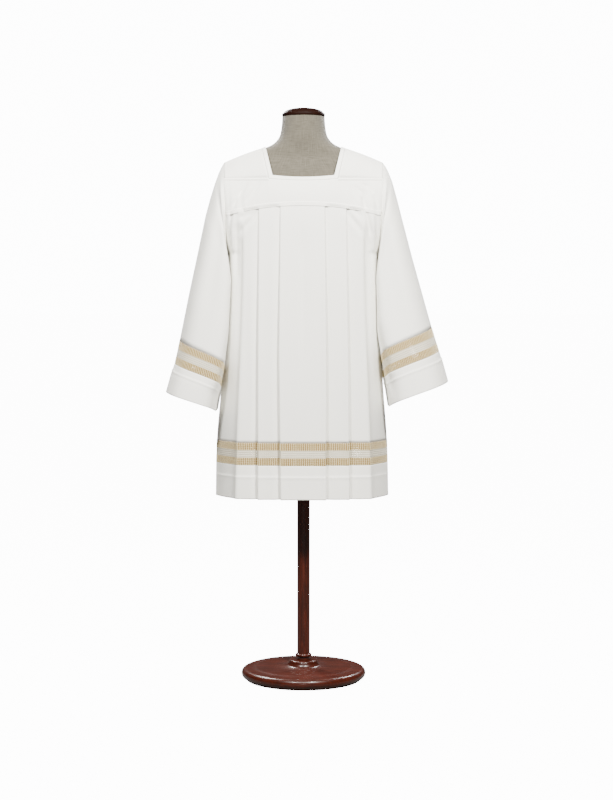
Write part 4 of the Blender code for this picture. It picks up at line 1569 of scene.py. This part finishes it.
@dataclass
class Openwork:
    """A band of drawn-thread openwork: square holes between bars wrapped in gold or cream.

    Its rows of points run from the top to the foot, and are one more than its rows of holes. The
    rows are closed on a sleeve. The outward function gives a rough direction at a point.
    """

    _bar: ClassVar[Mesh | None] = None
    GOLD_ROWS: ClassVar[int] = 4
    WHITE_ROWS: ClassVar[int] = 4
    ROW_COUNT: ClassVar[int] = 2 * GOLD_ROWS + WHITE_ROWS
    name: str
    rows: Rows
    outward: Outward
    closed: bool = False
    cell: float = 0.0050
    thickness: float = 0.0009
    bar_radius: float = 0.00078
    bar_flatness: float = 0.8
    gold_inset: float = 0.40
    cream_inset: float = 0.44
    edge_shares: tuple[float, float] = (0.004, 0.996)

    def is_gold(self, line: int) -> bool:
        """Say whether a row of holes lies in a gold stripe."""
        return not self.GOLD_ROWS <= line < self.GOLD_ROWS + self.WHITE_ROWS

    def evened(self) -> list[Row]:
        """Even out the rows' points.

        Returns:
            The rows with points one cell apart along them.
        """
        lengths = [row_length(row, self.closed) for row in self.rows]
        count = steps_for(sum(lengths) / len(lengths), self.cell)
        result = []
        for row, length in zip(self.rows, lengths):
            path = list(row) + ([row[0]] if self.closed else [])
            spots, travelled, place = [], 0.0, 0
            for step in range(count if self.closed else count + 1):
                due = length * step / count
                while place < len(path) - 2 and travelled + (path[place + 1] - path[place]).length < due:
                    travelled += (path[place + 1] - path[place]).length
                    place += 1
                run = (path[place + 1] - path[place]).length
                share = min((due - travelled) / max(run, 1e-9), 1.0)
                spots.append(blend(path[place], path[place + 1], share))
            result.append(spots)
        return result

    def ground(self, rows: Rows) -> Item:
        """Build the ground cloth, with a square hole in each cell.

        Args:
            rows: The band's evened rows.

        Returns:
            The ground.
        """
        across = [column * self.cell for column in range(len(rows[0]) + 1)]
        down = [-line * self.cell for line in range(len(rows))]
        builder, by_row = join_rows(rows, self.closed, across, down)
        gold = [face for line, faces in enumerate(by_row) if self.is_gold(line) for face in faces]
        cream = [face for line, faces in enumerate(by_row) if not self.is_gold(line) for face in faces]
        for face in gold:
            face.material_index = 1
        builder.normal_update()
        for faces, inset in ((gold, self.gold_inset), (cream, self.cream_inset)):
            bmesh.ops.inset_individual(builder, faces=faces, thickness=self.cell * inset,
                                       use_even_offset=True)
        bmesh.ops.delete(builder, geom=gold + cream, context="FACES_ONLY")
        return thicken(self.name, builder, self.thickness, CREAM_GROUND, GOLD_GROUND)

    @classmethod
    def bar(cls) -> Mesh:
        """Shape one bar along X, two long and two across.

        Returns:
            The bar that every band copies, made on its first use.
        """
        if cls._bar is None:
            deselect()
            bpy.ops.mesh.primitive_cylinder_add(vertices=6, radius=1.0, depth=2.0, end_fill_type="NGON",
                                                rotation=(0.0, math.pi / 2.0, 0.0))
            cls._bar = take_mesh((1.0, 1.0, 1.0))
        return cls._bar

    def bars(self, suffix: str, rows: Rows, gold: bool, level: bool, finish: Finish) -> Item:
        """Wrap thread round the bars between the holes.

        Args:
            suffix: What ends the piece's name.
            rows: The band's evened rows.
            gold: Whether to wrap the gold stripes or the white zone.
            level: Whether to wrap the level bars or the upright ones.
            finish: The thread's finish.

        Returns:
            The joined bars.
        """
        count = len(rows[0])
        last = count if self.closed else count - 1
        radius = self.bar_radius
        places = []
        for line in range(len(rows) - 1):
            if self.is_gold(line) != gold:
                continue
            for place in range(last):
                following = (place + 1) % count
                corner = rows[line][place]
                end = rows[line][following] if level else rows[line + 1][place]
                other = rows[line + 1][place] if level else rows[line][following]
                along = end - corner
                if along.length < 1e-6:
                    continue
                out = along.cross(other - corner).normalized()
                if out.dot(self.outward(corner)) < 0.0:
                    out = -out
                direction = along.normalized()
                side = out.cross(direction).normalized()
                axes = (direction * along.length * 0.5, side * radius, out * radius * self.bar_flatness)
                turn = Matrix(axes).transposed()
                middle = corner + along / 2.0 + out * (self.thickness / 2.0)
                places.append(Matrix.Translation(middle) @ turn.to_4x4())
        return join_copies(self.name + "_" + suffix, self.bar(), places, finish)

    def build(self, node: str, rests_on: Sequence[str]) -> None:
        """Build the band's ground and its wrapped bars, and dress them.

        Args:
            node: The solid that the band stands for.
            rests_on: Not used.
        """
        even = self.evened()
        ground = self.ground(even)
        dress(ground, "openwork", node)
        wraps = []
        for suffix, gold, level, finish in (("gold_level_bars", True, True, GOLD_THREAD),
                                            ("gold_upright_bars", True, False, PALE_GOLD_THREAD),
                                            ("white_level_bars", False, True, CREAM_THREAD)):
            wraps.append(self.bars(suffix, even, gold, level, finish))
            dress(wraps[-1], "openwork")
        edges = [line_on(even, share, self.outward, self.closed) for share in self.edge_shares]
        wraps.append(StitchMaker.sew(self.name + "_edge_stitching", edges, self.thickness))
        dress(wraps[-1], "white_cloth")


@dataclass
class Yoke:
    """The plain band across the chest or the shoulder blades."""

    body: Body
    neck: Neck
    swell: float = 0.003
    shift_start_x: float = 0.170
    row_count: int = 22
    face_spacing: float = 0.006
    relief_ends_x: tuple[float, float] = (0.200, 0.211)
    strip_lift: float = 0.0011
    strip_edge_lift: float = 0.0006
    foot_distances: tuple[float, ...] = (-0.0050, -0.0035, 0.0, 0.0025, 0.0050, 0.0070)
    fold_span: tuple[float, float] = (-0.002, 0.012)
    foot_stitch_shares: tuple[float, float] = (0.26, 0.85)
    seam_distances: tuple[float, ...] = (-0.0022, -0.0018, 0.0, 0.0040, 0.0046)
    seam_stitch_share: float = 0.70

    def top_point(self, across: float, end: Vector) -> Vector:
        """Place a point of the upper edge, under the neck strip or the shoulder seam.

        Args:
            across: The place along X.
            end: The edge's right end at the armhole.

        Returns:
            The point.
        """
        face = self.body.face
        edge = self.neck.strip_edge[face]
        reach = abs(across)
        if reach <= edge.corner_x:
            return self.neck.front_point(edge, face, (1.0 - across / edge.corner_x) / 2.0)
        corner = self.neck.side_point(edge, face, 1.0)
        point = blend(corner, end, (reach - corner.x) / (end.x - corner.x))
        return point if across > 0.0 else mirrored(point)

    def half_columns(self) -> list[tuple[Vector, Vector]]:
        """Lay the upper edge and the foot of the right half.

        Returns:
            The top and foot of each column, from the armhole to the centre.
        """
        body, armhole, face = self.body, self.body.armhole, self.body.face
        line_z = body.yoke_line_z
        top_end = armhole.point(face, armhole.seam_z[face])
        foot_end = armhole.point(face, line_z - body.yoke_line_drop(armhole.top_x, line_z))
        ratio = foot_end.x / top_end.x
        columns = []
        level = HeightSlice(body, foot_end.z)
        for place, point in enumerate(body.side_points(Side.RIGHT, level, 0)):
            height = line_z - body.yoke_line_drop(point.x, line_z)
            foot = body.side_points(Side.RIGHT, HeightSlice(body, height), 0)[place]
            columns.append((self.top_point(foot.x / ratio, top_end), foot))
        columns[0] = (top_end, foot_end)
        corner_x = self.neck.strip_edge[face].corner_x
        crease_x = row_at(BODY_LEVELS[face], line_z, "crease_x") - body.crease_rounding
        count = steps_for(crease_x - corner_x, self.face_spacing * 0.5)
        places = [blend(crease_x, corner_x, step / count) for step in range(count)]
        count = steps_for(corner_x, self.face_spacing)
        places += [blend(corner_x, 0.0, step / count) for step in range(count + 1)]
        for across in places:
            foot_x = across * ratio
            height = line_z - body.yoke_line_drop(foot_x, line_z)
            foot = body.face_point(HeightSlice(body, height), foot_x, 0.0, 0)
            columns.append((self.top_point(across, top_end), foot))
        return columns

    def rows(self) -> list[Row]:
        """Lay the yoke's rows.

        Returns:
            The rows, from the upper edge down to the pleats.
        """
        body, face = self.body, self.body.face
        half = self.half_columns()
        top_end, foot_end = half[0]
        rows = []
        for step in range(self.row_count + 1):
            share = step / self.row_count
            row = [blend(top, foot, share) for top, foot in half]
            shift = body.armhole.point(face, blend(top_end.z, foot_end.z, share)) - row[0]
            swell = self.swell * math.sin(math.pi * share)
            for point in row:
                reach = smooth_share(point.x, self.shift_start_x, row[0].x)
                point.x += shift.x * reach
                point.y += shift.y * reach + face.value * swell * (1.0 - reach)
            right = [point.copy() for point in row[:-1]]
            full = [mirrored(point) for point in row] + list(reversed(right))
            for point in full:
                fade = 1.0 - smooth_share(abs(point.x), *self.relief_ends_x)
                fade *= smooth_share(share, 0.0, 0.15) * (1.0 - smooth_share(share, 0.9, 1.0))
                point.y += face.value * body.relief(point.x, point.z) * fade
            rows.append(full)
        return rows

    def foot_strip(self, rows: Rows) -> list[Row]:
        """Lay the narrow band that covers the seam above the pleats.

        Args:
            rows: The yoke's rows.

        Returns:
            The band's rows.
        """
        body, sign = self.body, self.body.face.value
        pitch = body.pleat_pitch(body.yoke_line_z)
        outer_edge, inner_edge = (abs(pleat.top_x) for pleat in PLEATS[body.face][:2])
        crease_x = row_at(BODY_LEVELS[body.face], body.yoke_line_z, "crease_x")
        result = []
        for distance in self.foot_distances:
            row = []
            for place, foot in enumerate(rows[-1]):
                above = rows[-2][place]
                reach = abs(foot.x)
                layer = 4.0 - 2.0 * smooth_share(reach - inner_edge, *self.fold_span)
                layer -= 2.0 * smooth_share(reach - outer_edge, *self.fold_span)
                rounded = min(reach / crease_x, 1.0) ** body.rounding
                tuck = (4.0 * (1.0 - rounded) - layer) * pitch * smooth_share(distance, 0.0, 0.004)
                if distance < 0.0:
                    point = foot + (above - foot).normalized() * -distance
                else:
                    point = foot - Vector((0.0, 0.0, distance))
                lift = self.strip_edge_lift if distance < -0.0045 else self.strip_lift
                point.y += sign * (lift - tuck)
                row.append(point)
            result.append(row[2:-2])
        return result

    def seam_strip(self, rows: Rows, side: Side) -> list[Row]:
        """Lay the narrow band that covers the seam below a shoulder piece.

        Args:
            rows: The yoke's rows.
            side: The left or the right side.

        Returns:
            The band's rows.
        """
        sign = self.body.face.value
        corner_x = self.neck.strip_edge[self.body.face].corner_x
        columns = [place for place, point in enumerate(rows[0])
                   if point.x * side.value >= corner_x - 0.0005]
        result = []
        for distance in self.seam_distances:
            at_edge = distance in (self.seam_distances[0], self.seam_distances[-1])
            lift = self.strip_edge_lift if at_edge else self.strip_lift
            row = []
            for place in columns:
                down = (rows[1][place] - rows[0][place]).normalized()
                point = rows[0][place] + down * distance
                point.y += sign * lift * 0.9
                point.z += lift * 0.4
                row.append(point)
            result.append(row)
        return result

    def build(self) -> None:
        """Build the yoke with the stitched bands that cover its upper and lower seams."""
        label = self.body.face.label
        rows = self.rows()
        item = make_cloth("yoke_panel_" + label, rows, WALL, WHITE_CLOTH)
        dress(item, "white_cloth", "yoke_" + label)
        foot_rows = self.foot_strip(rows)
        foot = make_cloth("yoke_foot_band_" + label, foot_rows, STRIP_WALL, DOUBLED_CLOTH)
        dress(foot, "white_cloth")
        extras = []
        for side in Side:
            strip_rows = self.seam_strip(rows, side)
            strip = make_cloth(f"shoulder_seam_band_{label}_{side.label}", strip_rows, STRIP_WALL,
                               DOUBLED_CLOTH)
            dress(strip, "white_cloth")
            line = line_on(strip_rows, self.seam_stitch_share, self.body.outward)
            stitches = StitchMaker.sew(f"shoulder_seam_stitching_{label}_{side.label}", [line],
                                       STRIP_STITCH_LIFT)
            dress(stitches, "white_cloth")
            extras += [strip, stitches]
        lines = [line_on(foot_rows, share, self.body.outward) for share in self.foot_stitch_shares]
        stitches = StitchMaker.sew("yoke_stitching_" + label, lines, STRIP_STITCH_LIFT)
        dress(stitches, "white_cloth")


@dataclass
class Shoulder:
    """The piece over a shoulder, from the front yoke to the back yoke."""

    side: Side
    neck: Neck
    armhole: Armhole
    arch: float = 0.0020
    across_steps: int = 20
    share_steps: int = 12
    ripple_depth: float = 0.0009
    drag_depth: float = 0.0012
    drag_place: float = 0.55
    drag_slant: float = 0.25
    drag_width: float = 0.09

    def row(self, face: Face, share: float) -> Row:
        """Lay a row from the neck strip to the armhole.

        Args:
            face: The front or the back.
            share: How far the row lies from the ridge (0) to the yoke's seam (1).

        Returns:
            The row's points.
        """
        middle = (self.armhole.top_z + self.armhole.bottom_z) / 2.0
        half = (self.armhole.top_z - self.armhole.bottom_z) / 2.0
        seam_angle = math.acos((self.armhole.seam_z[face] - middle) / half)
        start = self.neck.side_point(self.neck.strip_edge[face], face, share)
        end = self.armhole.point(face, middle + half * math.cos(share * seam_angle))
        row = []
        for step in range(self.across_steps + 1):
            across = step / self.across_steps
            point = blend(start, end, across)
            bow = 4.0 * across * (1.0 - across)
            point.z += self.arch * bow * (1.0 - share * share)
            ripple = noise.noise(Vector((across * 3.0, share * 2.0 * face.value, self.side.value * 4.0)))
            off = (across - self.drag_place - self.drag_slant * share) / self.drag_width
            drag = math.exp(-(off**2)) * share * (1.0 - share) * 4.0
            push = (self.ripple_depth * ripple + self.drag_depth * drag) * bow
            push *= (1.0 - share**6) * smooth_share(share, 0.15, 0.5)
            point += Vector((0.0, face.value * push, push * 0.6))
            row.append(Vector((self.side.value * point.x, point.y, point.z)))
        return row

    def build(self) -> None:
        """Build the shoulder piece and its stitched seam lines."""
        shares = [blend(1.0, 0.0, step / self.share_steps) for step in range(self.share_steps)]
        rows = [self.row(Face.FRONT, share) for share in shares]
        rows.append(self.row(Face.FRONT, 0.0))
        rows += [self.row(Face.BACK, share) for share in reversed(shares)]
        label = self.side.label
        item = make_cloth("shoulder_piece_" + label, rows, WALL, WHITE_CLOTH)
        dress(item, "white_cloth", "shoulder_" + label)
        line = [(row[2], Vector((0.0, row[2].y, 0.05))) for row in rows]
        stitches = StitchMaker.sew("shoulder_stitching_" + label, [line], WALL_STITCH_LIFT)
        dress(stitches, "white_cloth")


SLEEVE_RINGS = {
    Side.LEFT: table(Ring, (
        (0.2175, 1.413, 0.2045, 1.165, 0.088, 2.0, 0.0),
        (0.23, 1.385, 0.2085, 1.135, 0.093, 2.0, 0.006),
        (0.2405, 1.356, 0.2105, 1.1, 0.098, 2.1, 0.022),
        (0.254, 1.313, 0.212, 1.065, 0.103, 2.1, 0.042),
        (0.266, 1.268, 0.213, 1.03, 0.107, 2.2, 0.055),
        (0.29, 1.153, 0.216, 0.97, 0.114, 2.2, 0.063),
        (0.312, 1.05, 0.2195, 0.915, 0.12, 2.3, 0.069),
        (0.337, 0.927, 0.225, 0.849, 0.126, 2.3, 0.066),
        (0.3505, 0.8655, 0.231, 0.796, 0.128, 2.3, 0.058),
        (0.361, 0.834, 0.2345, 0.769, 0.13, 2.3, 0.042),
        (0.3735, 0.788, 0.2385, 0.734, 0.132, 2.3, 0.034),
    )),
    Side.RIGHT: table(Ring, (
        (0.2175, 1.413, 0.2045, 1.165, 0.088, 2.0, 0.0),
        (0.23, 1.389, 0.2085, 1.135, 0.093, 2.0, 0.008),
        (0.241, 1.361, 0.2105, 1.1, 0.098, 2.1, 0.026),
        (0.2535, 1.315, 0.2115, 1.07, 0.103, 2.1, 0.041),
        (0.2665, 1.265, 0.212, 1.04, 0.107, 2.2, 0.053),
        (0.295, 1.158, 0.2135, 0.99, 0.114, 2.2, 0.063),
        (0.321, 1.065, 0.2155, 0.935, 0.12, 2.3, 0.07),
        (0.349, 0.962, 0.219, 0.879, 0.126, 2.3, 0.062),
        (0.368, 0.898, 0.2255, 0.82, 0.128, 2.3, 0.054),
        (0.3795, 0.862, 0.229, 0.789, 0.13, 2.3, 0.042),
        (0.393, 0.816, 0.2335, 0.7465, 0.132, 2.3, 0.034),
    )),
}

SLEEVE_FOLDS = {
    Side.LEFT: table(SleeveFold, (
        (128.0, 0.013, 15.0, 0.4, 10.0), (76.0, 0.007, 13.0, 1.5, 7.5),
        (235.0, 0.012, 15.0, 0.5, 10.0), (292.0, 0.007, 14.0, 2.0, 8.5),
    )),
    Side.RIGHT: table(SleeveFold, (
        (124.0, 0.013, 14.0, 0.4, 10.0), (82.0, 0.008, 12.0, 1.5, 7.5),
        (238.0, 0.012, 15.0, 0.5, 10.0), (286.0, 0.007, 14.0, 2.0, 8.5),
    )),
}


@dataclass
class Sleeve:
    """A wide sleeve with its openwork band and its doubled cuff, which begin at given rings."""

    side: Side
    band_ring: int = 7
    cuff_ring: int = 8
    end_ring: int = 10
    sides: int = 132
    rows_per_ring: int = 8
    cuff_rows_per_ring: int = 14
    part_gap: float = 0.006
    fold_share: float = 0.30
    ridge_share: float = 0.035
    ridge_height: float = 0.0014
    fold_step: float = 0.0006
    fold_fade: float = 2.5
    fold_loss: float = 0.7
    ripple_depth: float = 0.0018
    head_bumps: tuple[tuple[float, float, float], ...] = ((0.0042, 0.7, 0.32), (-0.0036, 1.75, 0.55))

    def column(self, name: str, place: float) -> float:
        """Read one column of the rings at a place, along a straight line between the two nearest rings."""
        rings = SLEEVE_RINGS[self.side]
        first = min(int(place), len(rings) - 2)
        return blend(getattr(rings[first], name), getattr(rings[first + 1], name), place - first)

    def fold_depth(self, degrees: float, place: float) -> float:
        """Work out how far the folds draw the wall inwards.

        Args:
            degrees: The angle round the ring.
            place: Where the ring lies, counted in rings from the armhole.

        Returns:
            The distance inwards, in metres.
        """
        depth = 0.0
        for fold in SLEEVE_FOLDS[self.side]:
            turn = (degrees - fold.angle + 180.0) % 360.0 - 180.0
            fade = self.fold_fade
            strength = smooth_share(place, fold.first_ring, fold.first_ring + fade)
            strength *= 1.0 - self.fold_loss * smooth_share(place, fold.last_ring - fade, fold.last_ring)
            depth += fold.depth * strength * math.exp(-((turn / fold.spread) ** 2))
        return depth

    def head_ridge(self, place: float) -> float:
        """Return how far the sleeve's head stands up beside the armhole seam, then dips."""
        return sum(height * math.exp(-(((place - middle) / width) ** 2))
                   for height, middle, width in self.head_bumps)

    def ring(self, place: float) -> Row:
        """Lay one ring of the sleeve.

        Args:
            place: Where it lies, counted in rings from the armhole.

        Returns:
            The ring's points.
        """
        outer = Vector((self.column("outer_x", place), 0.0, self.column("outer_z", place)))
        inner = Vector((self.column("inner_x", place), 0.0, self.column("inner_z", place)))
        half_depth = self.column("half_depth", place)
        power = 2.0 / self.column("squareness", place)
        wrap = self.column("wrap", place)
        centre, reach = (outer + inner) / 2.0, (outer - inner) / 2.0
        points = []
        for step in range(self.sides):
            angle = math.tau * step / self.sides
            along = math.copysign(abs(math.cos(angle)) ** power, math.cos(angle))
            forward = math.copysign(abs(math.sin(angle)) ** power, math.sin(angle))
            offset = reach * along + Vector((0.0, -half_depth * forward, 0.0))
            ripple = noise.noise(Vector((math.cos(angle) * 1.4, math.sin(angle) * 1.4,
                                         place * 0.35 + self.side.value * 7.0)))
            draw = self.fold_depth(math.degrees(angle), place)
            draw += self.ripple_depth * ripple * smooth_share(place, 0.0, 3.0)
            draw -= self.head_ridge(place) * (1.0 - smooth_share(along, 0.3, 0.9))
            offset *= 1.0 - draw / offset.length
            point = centre + offset
            seam = blend(-0.0004, ARMHOLE_GAP, smooth_share(place, 0.0, 0.5))
            point.x += seam - wrap * (1.0 - along) / 2.0 * forward * forward
            points.append(Vector((self.side.value * point.x, point.y, point.z)))
        return points

    def rows(self, first: float, last: float, per_ring: float) -> list[Row]:
        """Return rings from one place to another."""
        count = max(2, round((last - first) * per_ring))
        return [self.ring(blend(first, last, step / count)) for step in range(count + 1)]

    def outward(self, point: Vector) -> Vector:
        """Return the rough outward direction of the sleeve at a point."""
        centre_x = self.side.value * blend(0.215, 0.300, smooth_share(1.35 - point.z, 0.0, 0.55))
        return Vector((point.x - centre_x, point.y * 0.6, 0.0))

    def build(self) -> None:
        """Build the sleeve, its band and its cuff."""
        label = self.side.label
        rows = self.rows(0.0, self.band_ring - self.part_gap, self.rows_per_ring)
        upper = make_cloth("sleeve_panel_" + label, rows, WALL, WHITE_CLOTH, closed=True)
        dress(upper, "white_cloth", "sleeve_" + label)
        count, last = Openwork.ROW_COUNT, self.cuff_ring - self.part_gap
        band_rows = [self.ring(blend(self.band_ring, last, step / count)) for step in range(count + 1)]
        band = Openwork("sleeve_openwork_" + label, band_rows, self.outward, closed=True)
        band.build("sleeve_band_" + label, ["sleeve_panel_" + label])
        cuff_rows = self.rows(self.cuff_ring, self.end_ring, self.cuff_rows_per_ring)
        for step, row in enumerate(cuff_rows):
            off = (step / (len(cuff_rows) - 1) - self.fold_share) / self.ridge_share
            push = self.ridge_height * math.exp(-off * off) + self.fold_step * smooth_share(off, -1.0, 1.0)
            centre = sum(row, Vector()) / len(row)
            for point in row:
                point += (point - centre).normalized() * push
        piece = make_cloth("cuff_piece_" + label, cuff_rows, CUFF_WALL, DOUBLED_CLOTH, closed=True)
        dress(piece, "white_cloth", "cuff_" + label)
        line = line_on(cuff_rows, self.fold_share, self.outward, closed=True)
        stitches = StitchMaker.sew("cuff_stitching_" + label, [line], CUFF_STITCH_LIFT)
        dress(stitches, "white_cloth")


@dataclass
class Studio:
    """The pale floor, the soft lights and the camera at the photograph's angle."""

    image_width: int = 613
    image_height: int = 800
    focal_pixels: float = 1702.0
    horizon_row: float = 310.0
    axis_column: float = 303.5
    distance: float = 4.67
    eye_height: float = 1.0096
    sensor: float = 36.0
    sight: float = 1000.0
    floor_half: float = 400.0
    sky_light: float = 0.07
    sky_seen: float = 14.0

    def camera(self) -> None:
        """Set the camera level at eye height, with the frame shifted down as the photograph's is."""
        data = bpy.data.cameras.new("camera")
        data.sensor_width = self.sensor
        data.lens = self.focal_pixels / self.image_height * self.sensor
        data.shift_y = (self.horizon_row - self.image_height / 2.0) / self.image_height
        data.clip_end = self.sight
        item = bpy.data.objects.new("camera", data)
        offset = (self.image_width / 2.0 - self.axis_column) * self.distance / self.focal_pixels
        item.location = (offset, -self.distance, self.eye_height)
        item.rotation_euler = (math.pi / 2.0, 0.0, 0.0)
        bpy.context.scene.collection.objects.link(item)
        bpy.context.scene.camera = item

    def light(self, name: str, place: tuple[float, float, float], size: float, power: float,
              colour: Colour = (1.0, 1.0, 1.0)) -> None:
        """Add one soft square light that faces the garment.

        Args:
            name: The light's name.
            place: Where it stands.
            size: The length of its side.
            power: Its power in watts.
            colour: Its colour.
        """
        data = bpy.data.lights.new(name, "AREA")
        data.size = size
        data.energy = power
        data.color = colour
        item = bpy.data.objects.new(name, data)
        item.location = place
        aim = Vector((0.0, 0.0, 1.0)) - Vector(place)
        item.rotation_euler = aim.to_track_quat("-Z", "Y").to_euler()
        bpy.context.scene.collection.objects.link(item)

    def build(self) -> None:
        """Set the floor, the sky, the lights and the camera."""
        deselect()
        bpy.ops.mesh.primitive_plane_add(size=self.floor_half * 2.0, location=(0.0, 0.0, -0.0002))
        floor = bpy.context.object
        floor.name = "floor"
        floor.data.materials.append(FloorFinish("pale_floor", 0.85).material())
        world = bpy.data.worlds.new("studio_world")
        world.use_nodes = True
        tools = NodeTools(world.node_tree)
        backdrop = world.node_tree.nodes["Background"]
        backdrop.inputs["Color"].default_value = (0.96, 0.965, 0.97, 1.0)
        seen = tools.add("ShaderNodeLightPath").outputs["Is Camera Ray"]
        strength = tools.math("MULTIPLY_ADD", seen, self.sky_seen, self.sky_light)
        tools.link(strength, backdrop.inputs["Strength"])
        bpy.context.scene.world = world
        self.light("right_light", (0.75, -1.90, 2.80), 0.3, 225.0, (1.0, 0.975, 0.92))
        self.light("left_light", (-0.80, -1.90, 2.80), 0.3, 140.0, (1.0, 0.98, 0.94))
        self.light("front_light", (0.0, -4.2, 1.5), 0.5, 22.0, (1.0, 0.98, 0.95))
        self.light("back_light_left", (-1.25, 1.9, 2.6), 0.5, 150.0, (1.0, 0.985, 0.95))
        self.light("back_light_right", (1.45, 2.0, 2.4), 0.6, 95.0, (0.98, 0.985, 1.0))
        self.camera()


def main() -> None:
    """Build the studio, the form and the garment, in that order."""
    logging.basicConfig(level=logging.INFO, format="%(name)s: %(message)s")
    Studio().build()
    DressForm().build()
    armhole, neck = Armhole(), Neck()
    neck.build()
    for face in Face:
        body = Body(face, armhole)
        Yoke(body, neck).build()
        body.build()
    for side in Side:
        Shoulder(side, neck, armhole).build()
        Sleeve(side).build()


if __name__ == "__main__":
    main()
